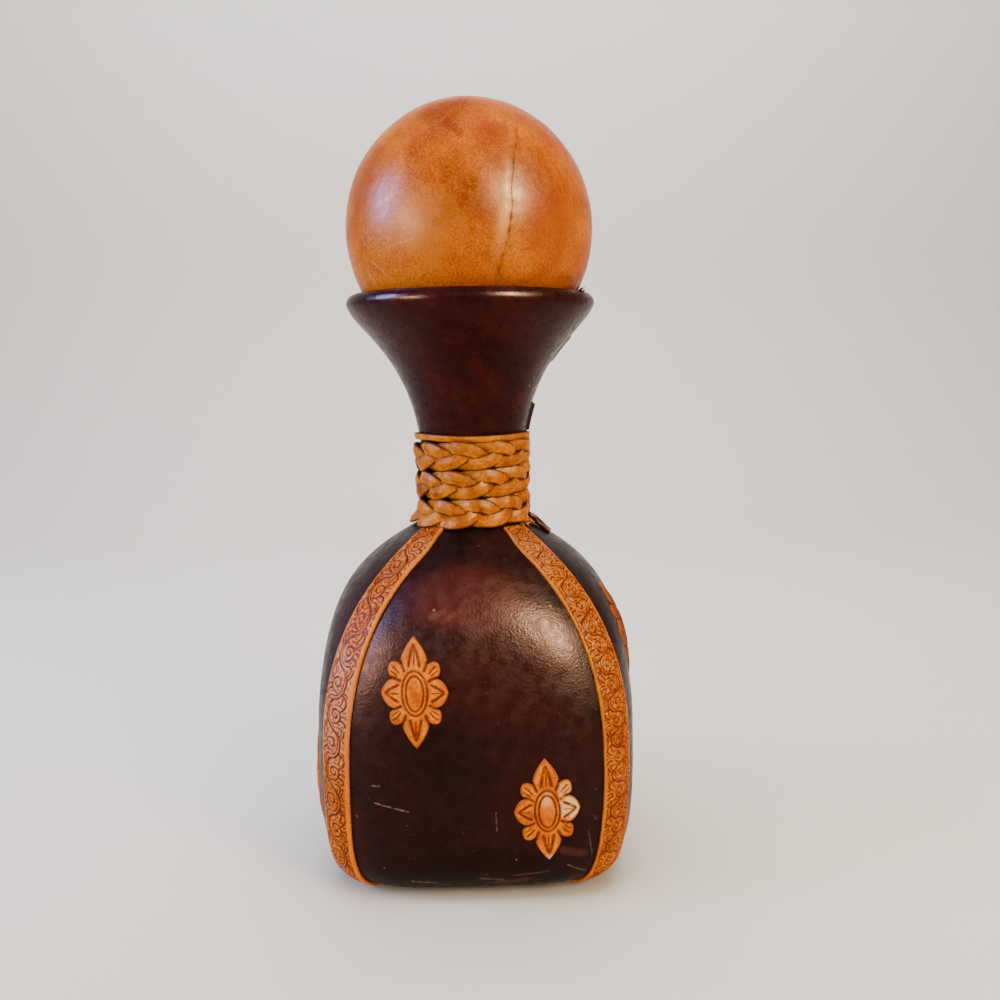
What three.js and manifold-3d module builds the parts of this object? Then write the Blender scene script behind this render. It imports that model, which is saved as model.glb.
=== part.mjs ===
// A glass decanter dressed in leather. The body is square in plan and turns round at the shoulders.
// Four dark panels are glued to the glass and meet edge to edge at the corners, where a tan strip covers each
// joint. A sleeve dresses the trumpet mouth, a plait is wound round the neck over the ends of panels and
// sleeve, two cut leather medallions are glued to every face, and a leather-covered ball with a cork closes it.
// Millimetres, +Z up, origin on the table under the middle of the bottle, front face toward -Y.
import * as THREE from 'three';
import { mergeVertices } from 'three/addons/utils/BufferGeometryUtils.js';
import Module from 'manifold-3d';

const wasm = await Module();
wasm.setup();

// Leather thicknesses and the glue line between two layers
const glueLine = 0.3;
const panelLeather = 1.6;
const stripLeather = 1.1;
const medallionLeather = 1;
const ballLeather = 1.6;

// Glass bottle: heights are above its own underside, widths are from the axis to the middle of a face
const glassWall = 3.6;
const footHalfWidth = 42.1;
const footReach = 11.9;
const footRise = 40;
const bodyHalfWidth = 58.7;
const bodyWidestHeight = 42.5;
const shoulderLowerHandle = 55.6;
const shoulderUpperHandle = 17.2;
const shoulderSlope = 1.69;
const shoulderTopRadius = 21.3;
const shoulderTopHeight = 125;
const waistRadius = 16.8;
const waistFillet = 4;
const neckStraight = 4.3;
const flareHeight = 74.5;
const flareHandle = 54.6;
const rimRadius = 45.5;
const rimSlope = 0.5;
const rimHandle = 12;

// Plan section: a squircle of this exponent up to one height, a circle from the other height up
const bodySquareness = 4;
const squareUpTo = 56;
const roundFrom = 126;

// Base
const padThickness = 1.8;
const padChamfer = 0.4;
const padMargin = 1;
const hemDepth = 10;
const stripTuck = 4;

// Panels, corner strips and sleeve
const buttGap = 0.5;
const panelTopAboveFillet = 2;
const stripWidth = 12.8;
const stripNeckWidth = 12;
const stripBodyShift = 0.1;
const stripShoulderShift = 2.5;
const stripShiftReach = 0.75;
const stripFootDrift = 1.4;
const seamAngle = 0;
const mouthHem = 9;

// Plait wound on the neck: a band of even width, squeezed level at its start, that climbs mostly at the back
// and ends in a thin level tail round the top
const braidSeatRadius = 22.4;
const braidHeight = 35.9;
const braidWidth = 10.4;
const braidTurnGap = 0.55;
const braidOuterRadius = 22.6;
const braidEdgeDrop = 0.8;
const braidLeastThickness = 1.2;
const braidLeastTail = 2;
const braidTail = 2.4;
const braidMiddleRise = 19.7;
const braidLagAngle = THREE.MathUtils.degToRad(25);
const braidEndAngle = THREE.MathUtils.degToRad(756);
const braidStepOverAngle = THREE.MathUtils.degToRad(43);
const leastTurnGap = 0.4;

// Medallion outline, one quarter of it: the ends of its curves, and the bulges that round them
const leafLength = 19.2;
const leafBulgeHalfWidth = 3.4;
const leafBulgeHeight = 15.4;
const leafHalfWidth = 4.5;
const leafShoulderHeight = 11.6;
const lobeRootHalfWidth = 4.2;
const lobeRootHeight = 9.8;
const lobeBulgeHalfWidth = 8.5;
const lobeBulgeHeight = 12.2;
const lobeHalfWidth = 8.9;
const lobeHeight = 8.3;
const lobeUndersideHalfWidth = 9.3;
const lobeUndersideHeight = 5.7;
const petalRootHalfWidth = 6.8;
const petalRootHeight = 5.2;
const petalBulgeHalfWidth = 10.4;
const petalBulgeHeight = 4.6;
const petalLength = 11.6;
const bossHalfWidth = 4.4;
const bossHalfHeight = 7.6;
const bossRise = 0.7;
const bossEdge = 0.5;
const upperMedallionTilt = THREE.MathUtils.degToRad(0.8);
const lowerMedallionTilt = THREE.MathUtils.degToRad(2.5);
const upperMedallionAcross = -21;
const upperMedallionHeight = 75;
const rightMedallionRise = 11;
const rightMedallionShift = 4;
const lowerMedallionAcross = 24.3;
const lowerMedallionHeight = 32.3;

// Stopper: a slightly tall ball in two leather cups, a tapered cork and the dowel that joins them
const ballOverhang = 1.45;
const ballStretch = 1.035;
const seamOffset = 14;
const seamLean = THREE.MathUtils.degToRad(5.5);
const seamGap = 0.4;
const seatGap = 0.3;
const corkClearance = 0.4;
const corkGrip = 18;
const corkAboveWaist = 18;
const corkChamfer = 1;
const dowelRadius = 4;
const dowelInCore = 18;
const dowelInCork = 24;
const fitGap = 0.3;

// Facets
const facetsPerFace = 8;
const facetCrowding = 0.75;
const facetsPerBulge = 2;
const footRows = 6;
const shoulderRows = 7;
const filletRows = 3;
const flareRows = 7;
const lipRows = 4;
const insideRows = [4, 1, 2, 4, 3];
const braidStepsPerTurn = 24;
const ballFacets = 28;
const corkFacets = 24;

const skin = glueLine + panelLeather;
const overlayGlue = skin + glueLine;
const glassBottom = padThickness + glueLine + skin;
const quarterTurn = Math.PI / 2;
const faceNames = ['front', 'right', 'back', 'left'];
const faceAngle = (face) => (face - 1) * quarterTurn;

// Solids from vertices and triangles, wound so that the faces point outward
function solid(points, triangles) {
  const volume = triangles.reduce((sum, [a, b, c]) => {
    const normal = new THREE.Vector3().crossVectors(points[b], points[c]);
    return sum + points[a].dot(normal);
  }, 0);
  const outward = volume < 0 ? triangles.map(([a, b, c]) => [a, c, b]) : triangles;
  const geometry = new THREE.BufferGeometry().setFromPoints(points);
  geometry.setIndex(outward.flat());
  geometry.computeVertexNormals();
  return geometry;
}

function quad(a, b, c, d) {
  return [[a, b, c], [a, c, d]];
}

// A sheet of leather: the space between two grids of points with the same rows and columns
function sheet(outer, inner) {
  const rows = outer.length;
  const columns = outer[0].length;
  const points = [...outer.flat(), ...inner.flat()];
  const top = (i, j) => i * columns + j;
  const under = (i, j) => rows * columns + top(i, j);
  const triangles = [];
  for (let i = 0; i + 1 < rows; i++) {
    for (let j = 0; j + 1 < columns; j++) {
      triangles.push(...quad(top(i, j), top(i, j + 1), top(i + 1, j + 1), top(i + 1, j)));
      triangles.push(...quad(under(i, j), under(i + 1, j), under(i + 1, j + 1), under(i, j + 1)).reverse());
    }
    const last = columns - 1;
    triangles.push(...quad(top(i, 0), top(i + 1, 0), under(i + 1, 0), under(i, 0)));
    triangles.push(...quad(top(i + 1, last), top(i, last), under(i, last), under(i + 1, last)));
  }
  for (let j = 0; j + 1 < columns; j++) {
    const last = rows - 1;
    triangles.push(...quad(top(0, j + 1), top(0, j), under(0, j), under(0, j + 1)));
    triangles.push(...quad(top(last, j), top(last, j + 1), under(last, j + 1), under(last, j)));
  }
  return solid(points, triangles);
}

// A skin through closed rings of points, ended by one point at each end
function ringLoft(startPoint, rings, endPoint) {
  const around = rings[0].length;
  const points = [...rings.flat(), startPoint, endPoint];
  const start = points.length - 2;
  const end = points.length - 1;
  const lastRing = (rings.length - 1) * around;
  const triangles = [];
  for (let j = 0; j < around; j++) {
    const next = (j + 1) % around;
    triangles.push([start, next, j]);
    triangles.push([end, lastRing + j, lastRing + next]);
    for (let i = 0; i + 1 < rings.length; i++) {
      const low = i * around;
      const high = low + around;
      triangles.push(...quad(low + j, low + next, high + next, high + j));
    }
  }
  return solid(points, triangles);
}

// Any closed three.js geometry with its shared corners merged and its collapsed triangles dropped
function mergedSolid(geometry) {
  const bare = new THREE.BufferGeometry();
  bare.setAttribute('position', geometry.getAttribute('position'));
  bare.setIndex(geometry.getIndex());
  const merged = mergeVertices(bare, 1e-4);
  const positions = merged.getAttribute('position');
  const points = Array.from({ length: positions.count }, (_, i) => (
    new THREE.Vector3().fromBufferAttribute(positions, i)));
  const index = merged.getIndex().array;
  const triangles = [];
  for (let i = 0; i < index.length; i += 3) {
    const [a, b, c] = index.slice(i, i + 3);
    if (a !== b && b !== c && c !== a) triangles.push([a, b, c]);
  }
  return solid(points, triangles);
}

// A turned piece: the outline of radius and height is revolved about Z
function turned(outline, facets) {
  const points = outline.map(([radius, height]) => new THREE.Vector2(radius, height));
  return mergedSolid(new THREE.LatheGeometry(points, facets).rotateX(quarterTurn));
}

function toManifold(geometry) {
  return new wasm.Manifold(new wasm.Mesh({
    numProp: 3,
    vertProperties: new Float32Array(geometry.getAttribute('position').array),
    triVerts: new Uint32Array(geometry.getIndex().array),
  }));
}

function cut(body, tool) {
  const { numProp, vertProperties, triVerts } = toManifold(body).subtract(toManifold(tool)).getMesh();
  const geometry = new THREE.BufferGeometry();
  const positions = Array.from({ length: vertProperties.length / numProp }, (_, i) => (
    new THREE.Vector3().fromArray(vertProperties, i * numProp)));
  geometry.setFromPoints(positions);
  geometry.setIndex(Array.from(triVerts));
  geometry.computeVertexNormals();
  return geometry;
}

// The outside of the glass in half section, from the middle of the underside to the rim
function outerCurves() {
  const footEdge = new THREE.Vector2(footHalfWidth, 0);
  const widest = new THREE.Vector2(bodyHalfWidth, bodyWidestHeight);
  const shoulderTop = new THREE.Vector2(shoulderTopRadius, shoulderTopHeight);
  const neckCorner = new THREE.Vector2(
    waistRadius, shoulderTopHeight + (shoulderTopRadius - waistRadius) / shoulderSlope);
  const neckFoot = new THREE.Vector2(waistRadius, neckCorner.y + waistFillet);
  const flareStart = new THREE.Vector2(waistRadius, neckFoot.y + neckStraight);
  const rim = new THREE.Vector2(rimRadius, flareStart.y + flareHeight);
  return [
    new THREE.LineCurve(new THREE.Vector2(0, 0), footEdge),
    new THREE.CubicBezierCurve(
      footEdge,
      new THREE.Vector2(footHalfWidth + footReach, 0),
      new THREE.Vector2(bodyHalfWidth, bodyWidestHeight - footRise),
      widest),
    new THREE.CubicBezierCurve(
      widest,
      new THREE.Vector2(bodyHalfWidth, bodyWidestHeight + shoulderLowerHandle),
      new THREE.Vector2(
        shoulderTopRadius + shoulderSlope * shoulderUpperHandle, shoulderTopHeight - shoulderUpperHandle),
      shoulderTop),
    new THREE.QuadraticBezierCurve(shoulderTop, neckCorner, neckFoot),
    new THREE.LineCurve(neckFoot, flareStart),
    new THREE.CubicBezierCurve(
      flareStart,
      new THREE.Vector2(waistRadius, flareStart.y + flareHandle),
      new THREE.Vector2(rimRadius - rimSlope * rimHandle, rim.y - rimHandle),
      rim),
  ];
}

function rightHand(direction) {
  return new THREE.Vector2(direction.y, -direction.x);
}

// The whole wall in half section: outside, round lip, and the inside as an offset of the outside
const outside = outerCurves();
const lipNormal = rightHand(outside.at(-1).getTangent(1));
const lipRadius = glassWall / 2;
const lipCentre = outside.at(-1).getPoint(1).addScaledVector(lipNormal, -lipRadius);
const lip = new THREE.EllipseCurve(
  lipCentre.x, lipCentre.y, lipRadius, lipRadius, lipNormal.angle(), lipNormal.angle() + Math.PI, false, 0);

function insideCurve(curve) {
  const samples = 12;
  const points = Array.from({ length: samples + 1 }, (_, k) => {
    const at = 1 - k / samples;
    return curve.getPoint(at).addScaledVector(rightHand(curve.getTangent(at)), -glassWall);
  });
  return new THREE.SplineCurve(points);
}

const wall = new THREE.CurvePath();
for (const curve of [...outside, lip, ...outside.toReversed().map(insideCurve)]) wall.add(curve);
const wallLength = wall.getLength();
const curveEnds = wall.getCurveLengths();
const [footEnd, bodyEnd, , filletEnd, neckEnd, rimEnd, lipEnd, boreEnd] = curveEnds;

// Stations along the wall, closer where a curve bends: the ends of equal steps of the curve's own parameter
function stations(curveNumber, count) {
  const curve = wall.curves[curveNumber];
  const start = curveNumber ? curveEnds[curveNumber - 1] : 0;
  const fineness = 20;
  const lengths = curve.getLengths(count * fineness);
  return Array.from({ length: count }, (_, k) => start + lengths[(k + 1) * fineness]);
}

const footStations = stations(1, footRows);
const shoulderStations = stations(2, shoulderRows);
const filletStations = stations(3, filletRows);
const flareStations = stations(5, flareRows);
const lipStations = stations(6, lipRows);
const insideStations = insideRows.flatMap((count, k) => stations(7 + k, count));

// The station, between a near and a far one, up to which a test of the wall holds
function lastStation(near, far, holds) {
  const halvings = 40;
  let low = near;
  let high = far;
  for (let k = 0; k < halvings; k++) {
    const middle = (low + high) / 2;
    if (holds(middle)) low = middle;
    else high = middle;
  }
  return low;
}

function stationAtHeight(height, near, far) {
  return lastStation(near, far, (station) => wall.getPoint(station / wallLength).y < height);
}

function squareness(height) {
  const roundness = THREE.MathUtils.smoothstep(height, squareUpTo, roundFrom);
  return THREE.MathUtils.lerp(bodySquareness, 2, roundness);
}

function squircle(angle, exponent) {
  return (Math.abs(Math.cos(angle)) ** exponent + Math.abs(Math.sin(angle)) ** exponent) ** (-1 / exponent);
}

function glassPoint(station, angle) {
  const { x: halfWidth, y: height } = wall.getPoint(station / wallLength);
  const reach = halfWidth * squircle(angle, squareness(height));
  return new THREE.Vector3(reach * Math.cos(angle), reach * Math.sin(angle), glassBottom + height);
}

// A point a given lift away from the glass, square to its surface
function lifted(station, angle, lift) {
  const step = 1e-3;
  const along = glassPoint(station + step, angle).sub(glassPoint(station - step, angle));
  const around = glassPoint(station, angle + step).sub(glassPoint(station, angle - step));
  return glassPoint(station, angle).addScaledVector(around.cross(along).normalize(), lift);
}

function cornerReach(station) {
  const corner = glassPoint(station, quarterTurn / 2);
  return Math.hypot(corner.x, corner.y);
}

// Lines round a face, from corner to corner, crowded toward the corners where the section bends
const facetAngles = Array.from({ length: facetsPerFace + 1 }, (_, k) => {
  const turn = quarterTurn * (k / facetsPerFace - 0.5);
  const bend = Math.atan2(Math.abs(Math.sin(turn)) ** facetCrowding, Math.cos(turn) ** facetCrowding);
  return Math.sign(turn) * bend;
});
const allAngles = faceNames.flatMap((_, face) => (
  facetAngles.slice(0, -1).map((angle) => faceAngle(face) + angle)));

function glassBottle() {
  const heights = [
    footEnd, ...footStations, ...shoulderStations, ...filletStations, neckEnd,
    ...flareStations, ...lipStations, ...insideStations];
  const rings = heights.map((station) => allAngles.map((angle) => glassPoint(station, angle)));
  const underside = new THREE.Vector3(0, 0, glassBottom);
  const floor = new THREE.Vector3(0, 0, glassBottom + glassWall);
  return ringLoft(underside, rings, floor);
}

function basePad() {
  const halfWidth = footHalfWidth - stripTuck - padMargin;
  const ring = (radius, height) => allAngles.map((angle) => {
    const reach = radius * squircle(angle, bodySquareness);
    return new THREE.Vector3(reach * Math.cos(angle), reach * Math.sin(angle), height);
  });
  return ringLoft(
    new THREE.Vector3(0, 0, 0),
    [ring(halfWidth - padChamfer, 0), ring(halfWidth, padChamfer), ring(halfWidth, padThickness)],
    new THREE.Vector3(0, 0, padThickness));
}

const panelTop = filletEnd + panelTopAboveFillet;

// One panel, from its hem under the base to its end under the plait
function panel(face) {
  const rows = [footEnd - hemDepth, footEnd, ...footStations, ...shoulderStations, ...filletStations, panelTop];
  const layer = (lift) => rows.map((station) => {
    const edge = quarterTurn / 2 - buttGap / 2 / cornerReach(station);
    return facetAngles.map((angle) => (
      lifted(station, faceAngle(face) + THREE.MathUtils.clamp(angle, -edge, edge), lift)));
  });
  return sheet(layer(skin), layer(glueLine));
}

// Where the panels pass under the outer edge of the plait, which is where the strips stop
function stripTop() {
  const stop = Math.max(braidOuterRadius, braidSeatRadius + glueLine + braidLeastThickness) + glueLine;
  return lastStation(bodyEnd, filletEnd, (station) => {
    const { x, y } = lifted(station, quarterTurn / 2, overlayGlue);
    return Math.hypot(x, y) > stop;
  });
}

// One corner strip, from its tuck under the base to the plait. The strips lean towards the front and back faces
// on the shoulders, and their feet drift a little round the bottle.
function cornerStrip(face) {
  const top = stripTop();
  const leastRow = 1;
  const between = [footEnd, ...footStations, ...shoulderStations, ...filletStations];
  const rows = [footEnd - stripTuck, ...between.filter((station) => station < top - leastRow), top];
  const columns = [-1, -0.5, 0, 0.5, 1];
  const layer = (lift) => rows.map((station) => {
    const narrowing = THREE.MathUtils.smoothstep(station, bodyEnd, top);
    const width = THREE.MathUtils.lerp(stripWidth, stripNeckWidth, narrowing);
    const leaning = THREE.MathUtils.smoothstep(station, bodyEnd, THREE.MathUtils.lerp(bodyEnd, top, stripShiftReach));
    const shift = THREE.MathUtils.lerp(stripBodyShift, stripShoulderShift, leaning);
    const drift = stripFootDrift * (1 - THREE.MathUtils.smoothstep(station, footEnd, bodyEnd));
    const middle = (face % 2 ? shift : -shift) - drift;
    return columns.map((column) => {
      const across = middle + column * width / 2;
      return lifted(station, faceAngle(face) + quarterTurn / 2 + across / cornerReach(station), lift);
    });
  });
  return sheet(layer(overlayGlue + stripLeather), layer(overlayGlue));
}

const hemEnd = lipEnd + mouthHem;

// The sleeve: from under the plait, up the trumpet, over the lip and down inside the mouth, open at its seam
function neckSleeve() {
  const rows = [panelTop + buttGap, neckEnd, ...flareStations, ...lipStations, hemEnd];
  const layer = (lift) => rows.map((station) => {
    const reach = wall.getPoint(station / wallLength).x;
    const edge = buttGap / 2 / reach;
    const turns = allAngles.map((angle) => (angle - seamAngle + 4 * Math.PI) % (2 * Math.PI));
    const lines = turns.filter((turn) => turn > 1e-6).sort((a, b) => a - b);
    return [edge, ...lines, 2 * Math.PI - edge].map((turn) => lifted(station, seamAngle + turn, lift));
  });
  return sheet(layer(skin), layer(glueLine));
}

// The neck's leather in half section, along its straight-sided facets: radius and height above the glass base
const neckStations = [...shoulderStations, ...filletStations, panelTop, neckEnd, ...flareStations];
const neckOutline = neckStations.map((station) => {
  const { x, y, z } = lifted(station, seamAngle, skin);
  return new THREE.Vector2(Math.hypot(x, y), z - glassBottom);
});

function neckReach(height) {
  const above = neckOutline.findIndex((point) => point.y > height);
  const [low, high] = neckOutline.slice(above - 1, above + 1);
  return THREE.MathUtils.mapLinear(height, low.y, high.y, low.x, high.x);
}

// The plait's lower edge sits where the shoulder's leather has narrowed to the seat radius
function braidBottom() {
  const inside = neckOutline.findIndex((point) => point.x < braidSeatRadius);
  const [low, high] = neckOutline.slice(inside - 1, inside + 1);
  return THREE.MathUtils.mapLinear(braidSeatRadius, low.x, high.x, low.y, high.y);
}

// The plait as one unbroken band that climbs round the neck. Its section is a rounded bar, listed by where
// each corner lies between the two edges (-1 to 1) and between the neck side and the outside (0 to 1).
function neckBraid() {
  const section = [[-0.8, 0], [0, 0], [0.8, 0], [1, 0.45], [0.72, 0.85], [0, 1], [-0.72, 0.85], [-1, 0.45]];
  const pitch = braidWidth + braidTurnGap;
  const bottom = braidBottom();
  const top = bottom + braidHeight;
  const tailStart = braidEndAngle - 2 * Math.PI;
  const lag = (angle) => braidLagAngle * Math.cos(angle);
  const start = 2 * Math.PI * (braidLeastTail - braidWidth / 2 - braidMiddleRise) / pitch;
  const step = 2 * Math.PI / braidStepsPerTurn;
  const steps = Math.floor((braidEndAngle - start - lag(start)) / step);
  const rings = Array.from({ length: steps + 1 }, (_, k) => {
    const angle = braidEndAngle - (steps - k) * step;
    const middle = bottom + braidMiddleRise + pitch * (angle - lag(angle)) / (2 * Math.PI);
    const clear = THREE.MathUtils.smoothstep(angle, tailStart, tailStart + braidStepOverAngle);
    const ceiling = top - (1 - clear) * (braidTail + braidTurnGap);
    const low = Math.min(Math.max(middle - braidWidth / 2, bottom), ceiling - braidTail);
    const high = Math.min(middle + braidWidth / 2, ceiling);
    return section.map(([across, out]) => {
      const height = THREE.MathUtils.mapLinear(across, -1, 1, low, high);
      const inner = neckReach(height) + glueLine;
      const crown = braidOuterRadius - braidEdgeDrop * across * across;
      const outer = Math.max(crown, inner + braidLeastThickness);
      const reach = THREE.MathUtils.lerp(inner, outer, out);
      return new THREE.Vector3(reach * Math.cos(angle), reach * Math.sin(angle), glassBottom + height);
    });
  });
  const least = leastGap(rings);
  console.log(`Least gap between two turns of the plait: ${least.toFixed(2)} mm`);
  if (least < leastTurnGap) throw new Error('the turns of the plait touch');
  const middleOf = (ring) => ring.reduce((sum, point) => sum.add(point), new THREE.Vector3())
    .divideScalar(ring.length);
  return ringLoft(middleOf(rings[0]), rings, middleOf(rings.at(-1)));
}

function leastGap(rings) {
  let least = Infinity;
  for (let i = 0; i < rings.length; i++) {
    for (let j = i + braidStepsPerTurn / 2; j < rings.length; j++) {
      for (const here of rings[i]) {
        for (const there of rings[j]) least = Math.min(least, here.distanceTo(there));
      }
    }
  }
  return least;
}

// One quarter of a medallion's outline: long leaf, small slanted lobe, side petal
function medallionQuarter() {
  const path = new THREE.Path();
  path.moveTo(0, leafLength);
  path.quadraticCurveTo(leafBulgeHalfWidth, leafBulgeHeight, leafHalfWidth, leafShoulderHeight);
  path.lineTo(lobeRootHalfWidth, lobeRootHeight);
  path.quadraticCurveTo(lobeBulgeHalfWidth, lobeBulgeHeight, lobeHalfWidth, lobeHeight);
  path.quadraticCurveTo(lobeUndersideHalfWidth, lobeUndersideHeight, petalRootHalfWidth, petalRootHeight);
  path.quadraticCurveTo(petalBulgeHalfWidth, petalBulgeHeight, petalLength, 0);
  return path.getPoints(facetsPerBulge);
}

function medallionOutline() {
  const quarter = medallionQuarter();
  const lower = quarter.slice(0, -1).toReversed().map(({ x, y }) => new THREE.Vector2(x, -y));
  const right = [...quarter, ...lower];
  const left = right.slice(1, -1).toReversed().map(({ x, y }) => new THREE.Vector2(-x, y));
  return [...right, ...left];
}

// A medallion bent to its face, with an oval boss in the middle
function medallion(face, centreAcross, centreHeight, tilt) {
  const middle = stationAtHeight(centreHeight, footEnd, rimEnd);
  const bend = (point, lift) => {
    const { x, y } = point.clone().rotateAround(new THREE.Vector2(), tilt);
    const station = middle + y;
    const across = centreAcross + x;
    const { x: halfWidth, y: height } = wall.getPoint(station / wallLength);
    const exponent = squareness(height);
    const depth = (halfWidth ** exponent - Math.abs(across) ** exponent) ** (1 / exponent);
    return lifted(station, faceAngle(face) + Math.atan2(across, depth), lift);
  };
  const outline = medallionOutline();
  const oval = (inset) => outline.map((point) => {
    const angle = point.angle();
    return new THREE.Vector2(
      (bossHalfWidth - inset) * Math.cos(angle), (bossHalfHeight - inset) * Math.sin(angle));
  });
  const glued = overlayGlue;
  const facing = glued + medallionLeather;
  const rings = [
    oval(0).map((point) => bend(point, glued)),
    outline.map((point) => bend(point, glued)),
    outline.map((point) => bend(point, facing)),
    oval(0).map((point) => bend(point, facing)),
    oval(bossEdge).map((point) => bend(point, facing + bossRise)),
  ];
  const centre = new THREE.Vector2(0, 0);
  return ringLoft(bend(centre, glued), rings, bend(centre, facing + bossRise));
}

// Stopper: the ball rests on the leather of the lip
const ballRadius = rimRadius + ballOverhang;
const coreRadius = ballRadius - ballLeather - glueLine;
const corkTip = wall.getPoint(neckEnd / wallLength).y + corkAboveWaist;
const corkTipRadius = boreRadius(corkTip) - corkClearance;
const corkTopRadius = boreRadius(corkTip + corkGrip) - corkClearance;
const seam = Math.acos(seamOffset / ballRadius);
const coreFlat = -ballStretch * Math.sqrt(coreRadius ** 2 - corkTopRadius ** 2);

function boreRadius(height) {
  return wall.getPoint(stationAtHeight(height, boreEnd, lipEnd) / wallLength).x;
}

// The height at which the lower half of the ball just clears the leather of the lip and of the mouth's hem
function ballHeight() {
  const reach = ballRadius + seatGap;
  const seat = [...lipStations, hemEnd].map((station) => lifted(station, seamAngle, skin));
  return Math.max(...seat.map(({ x, y, z }) => (
    z + ballStretch * Math.sqrt(Math.max(reach ** 2 - x ** 2 - y ** 2, 0)))));
}

function arc(radius, from, to, steps) {
  return Array.from({ length: steps + 1 }, (_, k) => {
    const angle = THREE.MathUtils.lerp(from, to, k / steps);
    return [radius * Math.sin(angle), radius * Math.cos(angle)];
  });
}

// A shape turned about the axis of the seam and drawn out to the ball's full height
function turnedOnSeam(outline) {
  return turned(outline, ballFacets).rotateY(quarterTurn + seamLean).scale(1, 1, ballStretch);
}

function ballSteps(from, to) {
  return Math.ceil(Math.abs(to - from) / Math.PI * ballFacets / 2);
}

// The wooden ball, with a flat for the cork and a blind hole for the dowel
function stopperCore() {
  const ball = turnedOnSeam([
    ...arc(coreRadius, 0, seam, ballSteps(0, seam)),
    ...arc(coreRadius, seam, Math.PI, ballSteps(seam, Math.PI)).slice(1),
  ]);
  const bore = dowelRadius + fitGap;
  const holeEnd = coreFlat + dowelInCore;
  const cutter = turned([
    [0, holeEnd], [bore, holeEnd], [bore, coreFlat], [coreRadius, coreFlat],
    [coreRadius, -2 * coreRadius], [0, -2 * coreRadius]], corkFacets);
  return cut(ball, cutter);
}

// A leather cup on one side of the seam, with a hole for the cork
function stopperCup(from, to) {
  const steps = ballSteps(from, to);
  const cup = turnedOnSeam([
    ...arc(ballRadius, from, to, steps),
    ...arc(ballRadius - ballLeather, to, from, steps),
  ]);
  const holeRadius = corkTopRadius + fitGap;
  const hole = turned([
    [0, 0], [holeRadius, 0], [holeRadius, -2 * ballRadius], [0, -2 * ballRadius]], corkFacets);
  return cut(cup, hole);
}

// The cork: its lower end tapers to fit the bore
function stopperCork(ballCentre) {
  const top = coreFlat - fitGap;
  const tip = glassBottom + corkTip - ballCentre;
  const bore = dowelRadius + fitGap;
  return turned([
    [0, top - dowelInCork], [bore, top - dowelInCork], [bore, top], [corkTopRadius, top],
    [corkTopRadius, tip + corkGrip], [corkTipRadius, tip + corkChamfer],
    [corkTipRadius - corkChamfer, tip], [0, tip]], corkFacets);
}

function stopperDowel() {
  const high = coreFlat + dowelInCore - fitGap;
  const low = coreFlat - dowelInCork;
  return turned([[0, high], [dowelRadius, high], [dowelRadius, low], [0, low]], corkFacets / 2);
}

const materials = {
  glass: { color: '#4a3a1c', roughness: 0.12, metalness: 0 },
  darkLeather: { color: '#3a1214', roughness: 0.38, metalness: 0 },
  tanLeather: { color: '#c4722a', roughness: 0.5, metalness: 0 },
  ballLeather: { color: '#b8662c', roughness: 0.45, metalness: 0 },
  pad: { color: '#1d1712', roughness: 0.95, metalness: 0 },
  wood: { color: '#b48a5c', roughness: 0.8, metalness: 0 },
  cork: { color: '#b58a5a', roughness: 0.9, metalness: 0 },
};

const decanter = new THREE.Group();

function addPiece(group, name, geometry, look) {
  const mesh = new THREE.Mesh(geometry, new THREE.MeshStandardMaterial(materials[look]));
  mesh.name = name;
  group.add(mesh);
}

addPiece(decanter, 'glass_bottle', glassBottle(), 'glass');
addPiece(decanter, 'base_pad', basePad(), 'pad');
addPiece(decanter, 'neck_sleeve', neckSleeve(), 'darkLeather');
addPiece(decanter, 'neck_braid', neckBraid(), 'tanLeather');
faceNames.forEach((name, face) => {
  const nextName = faceNames[(face + 1) % faceNames.length];
  addPiece(decanter, `${name}_panel`, panel(face), 'darkLeather');
  addPiece(decanter, `corner_strip_${name}_${nextName}`, cornerStrip(face), 'tanLeather');
  const [shift, rise] = name === 'right' ? [rightMedallionShift, rightMedallionRise] : [0, 0];
  const upper = medallion(face, upperMedallionAcross + shift, upperMedallionHeight + rise, upperMedallionTilt);
  const lower = medallion(face, lowerMedallionAcross, lowerMedallionHeight, lowerMedallionTilt);
  addPiece(decanter, `${name}_upper_medallion`, upper, 'tanLeather');
  addPiece(decanter, `${name}_lower_medallion`, lower, 'tanLeather');
});

const stopper = new THREE.Group();
stopper.position.z = ballHeight();
const halfSeam = seamGap / 2 / ballRadius;
addPiece(stopper, 'stopper_core', stopperCore(), 'wood');
addPiece(stopper, 'stopper_right_cup', stopperCup(0, seam - halfSeam), 'ballLeather');
addPiece(stopper, 'stopper_left_cup', stopperCup(Math.PI, seam + halfSeam), 'ballLeather');
addPiece(stopper, 'stopper_cork', stopperCork(stopper.position.z), 'cork');
addPiece(stopper, 'stopper_dowel', stopperDowel(), 'wood');
decanter.add(stopper);

export default decanter;
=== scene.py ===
"""The visual model of a leather-dressed decanter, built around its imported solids.

Every piece is in metres in the frame of the solids: +Z up, the front face toward -Y.
Sizes in the classes are millimetres, and in the studio metres.
"""

import logging
import math
from collections.abc import Sequence
from dataclasses import dataclass, replace
from enum import Enum, IntEnum
from functools import cached_property

import bpy
import numpy as np
from mathutils import Matrix, Vector


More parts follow.
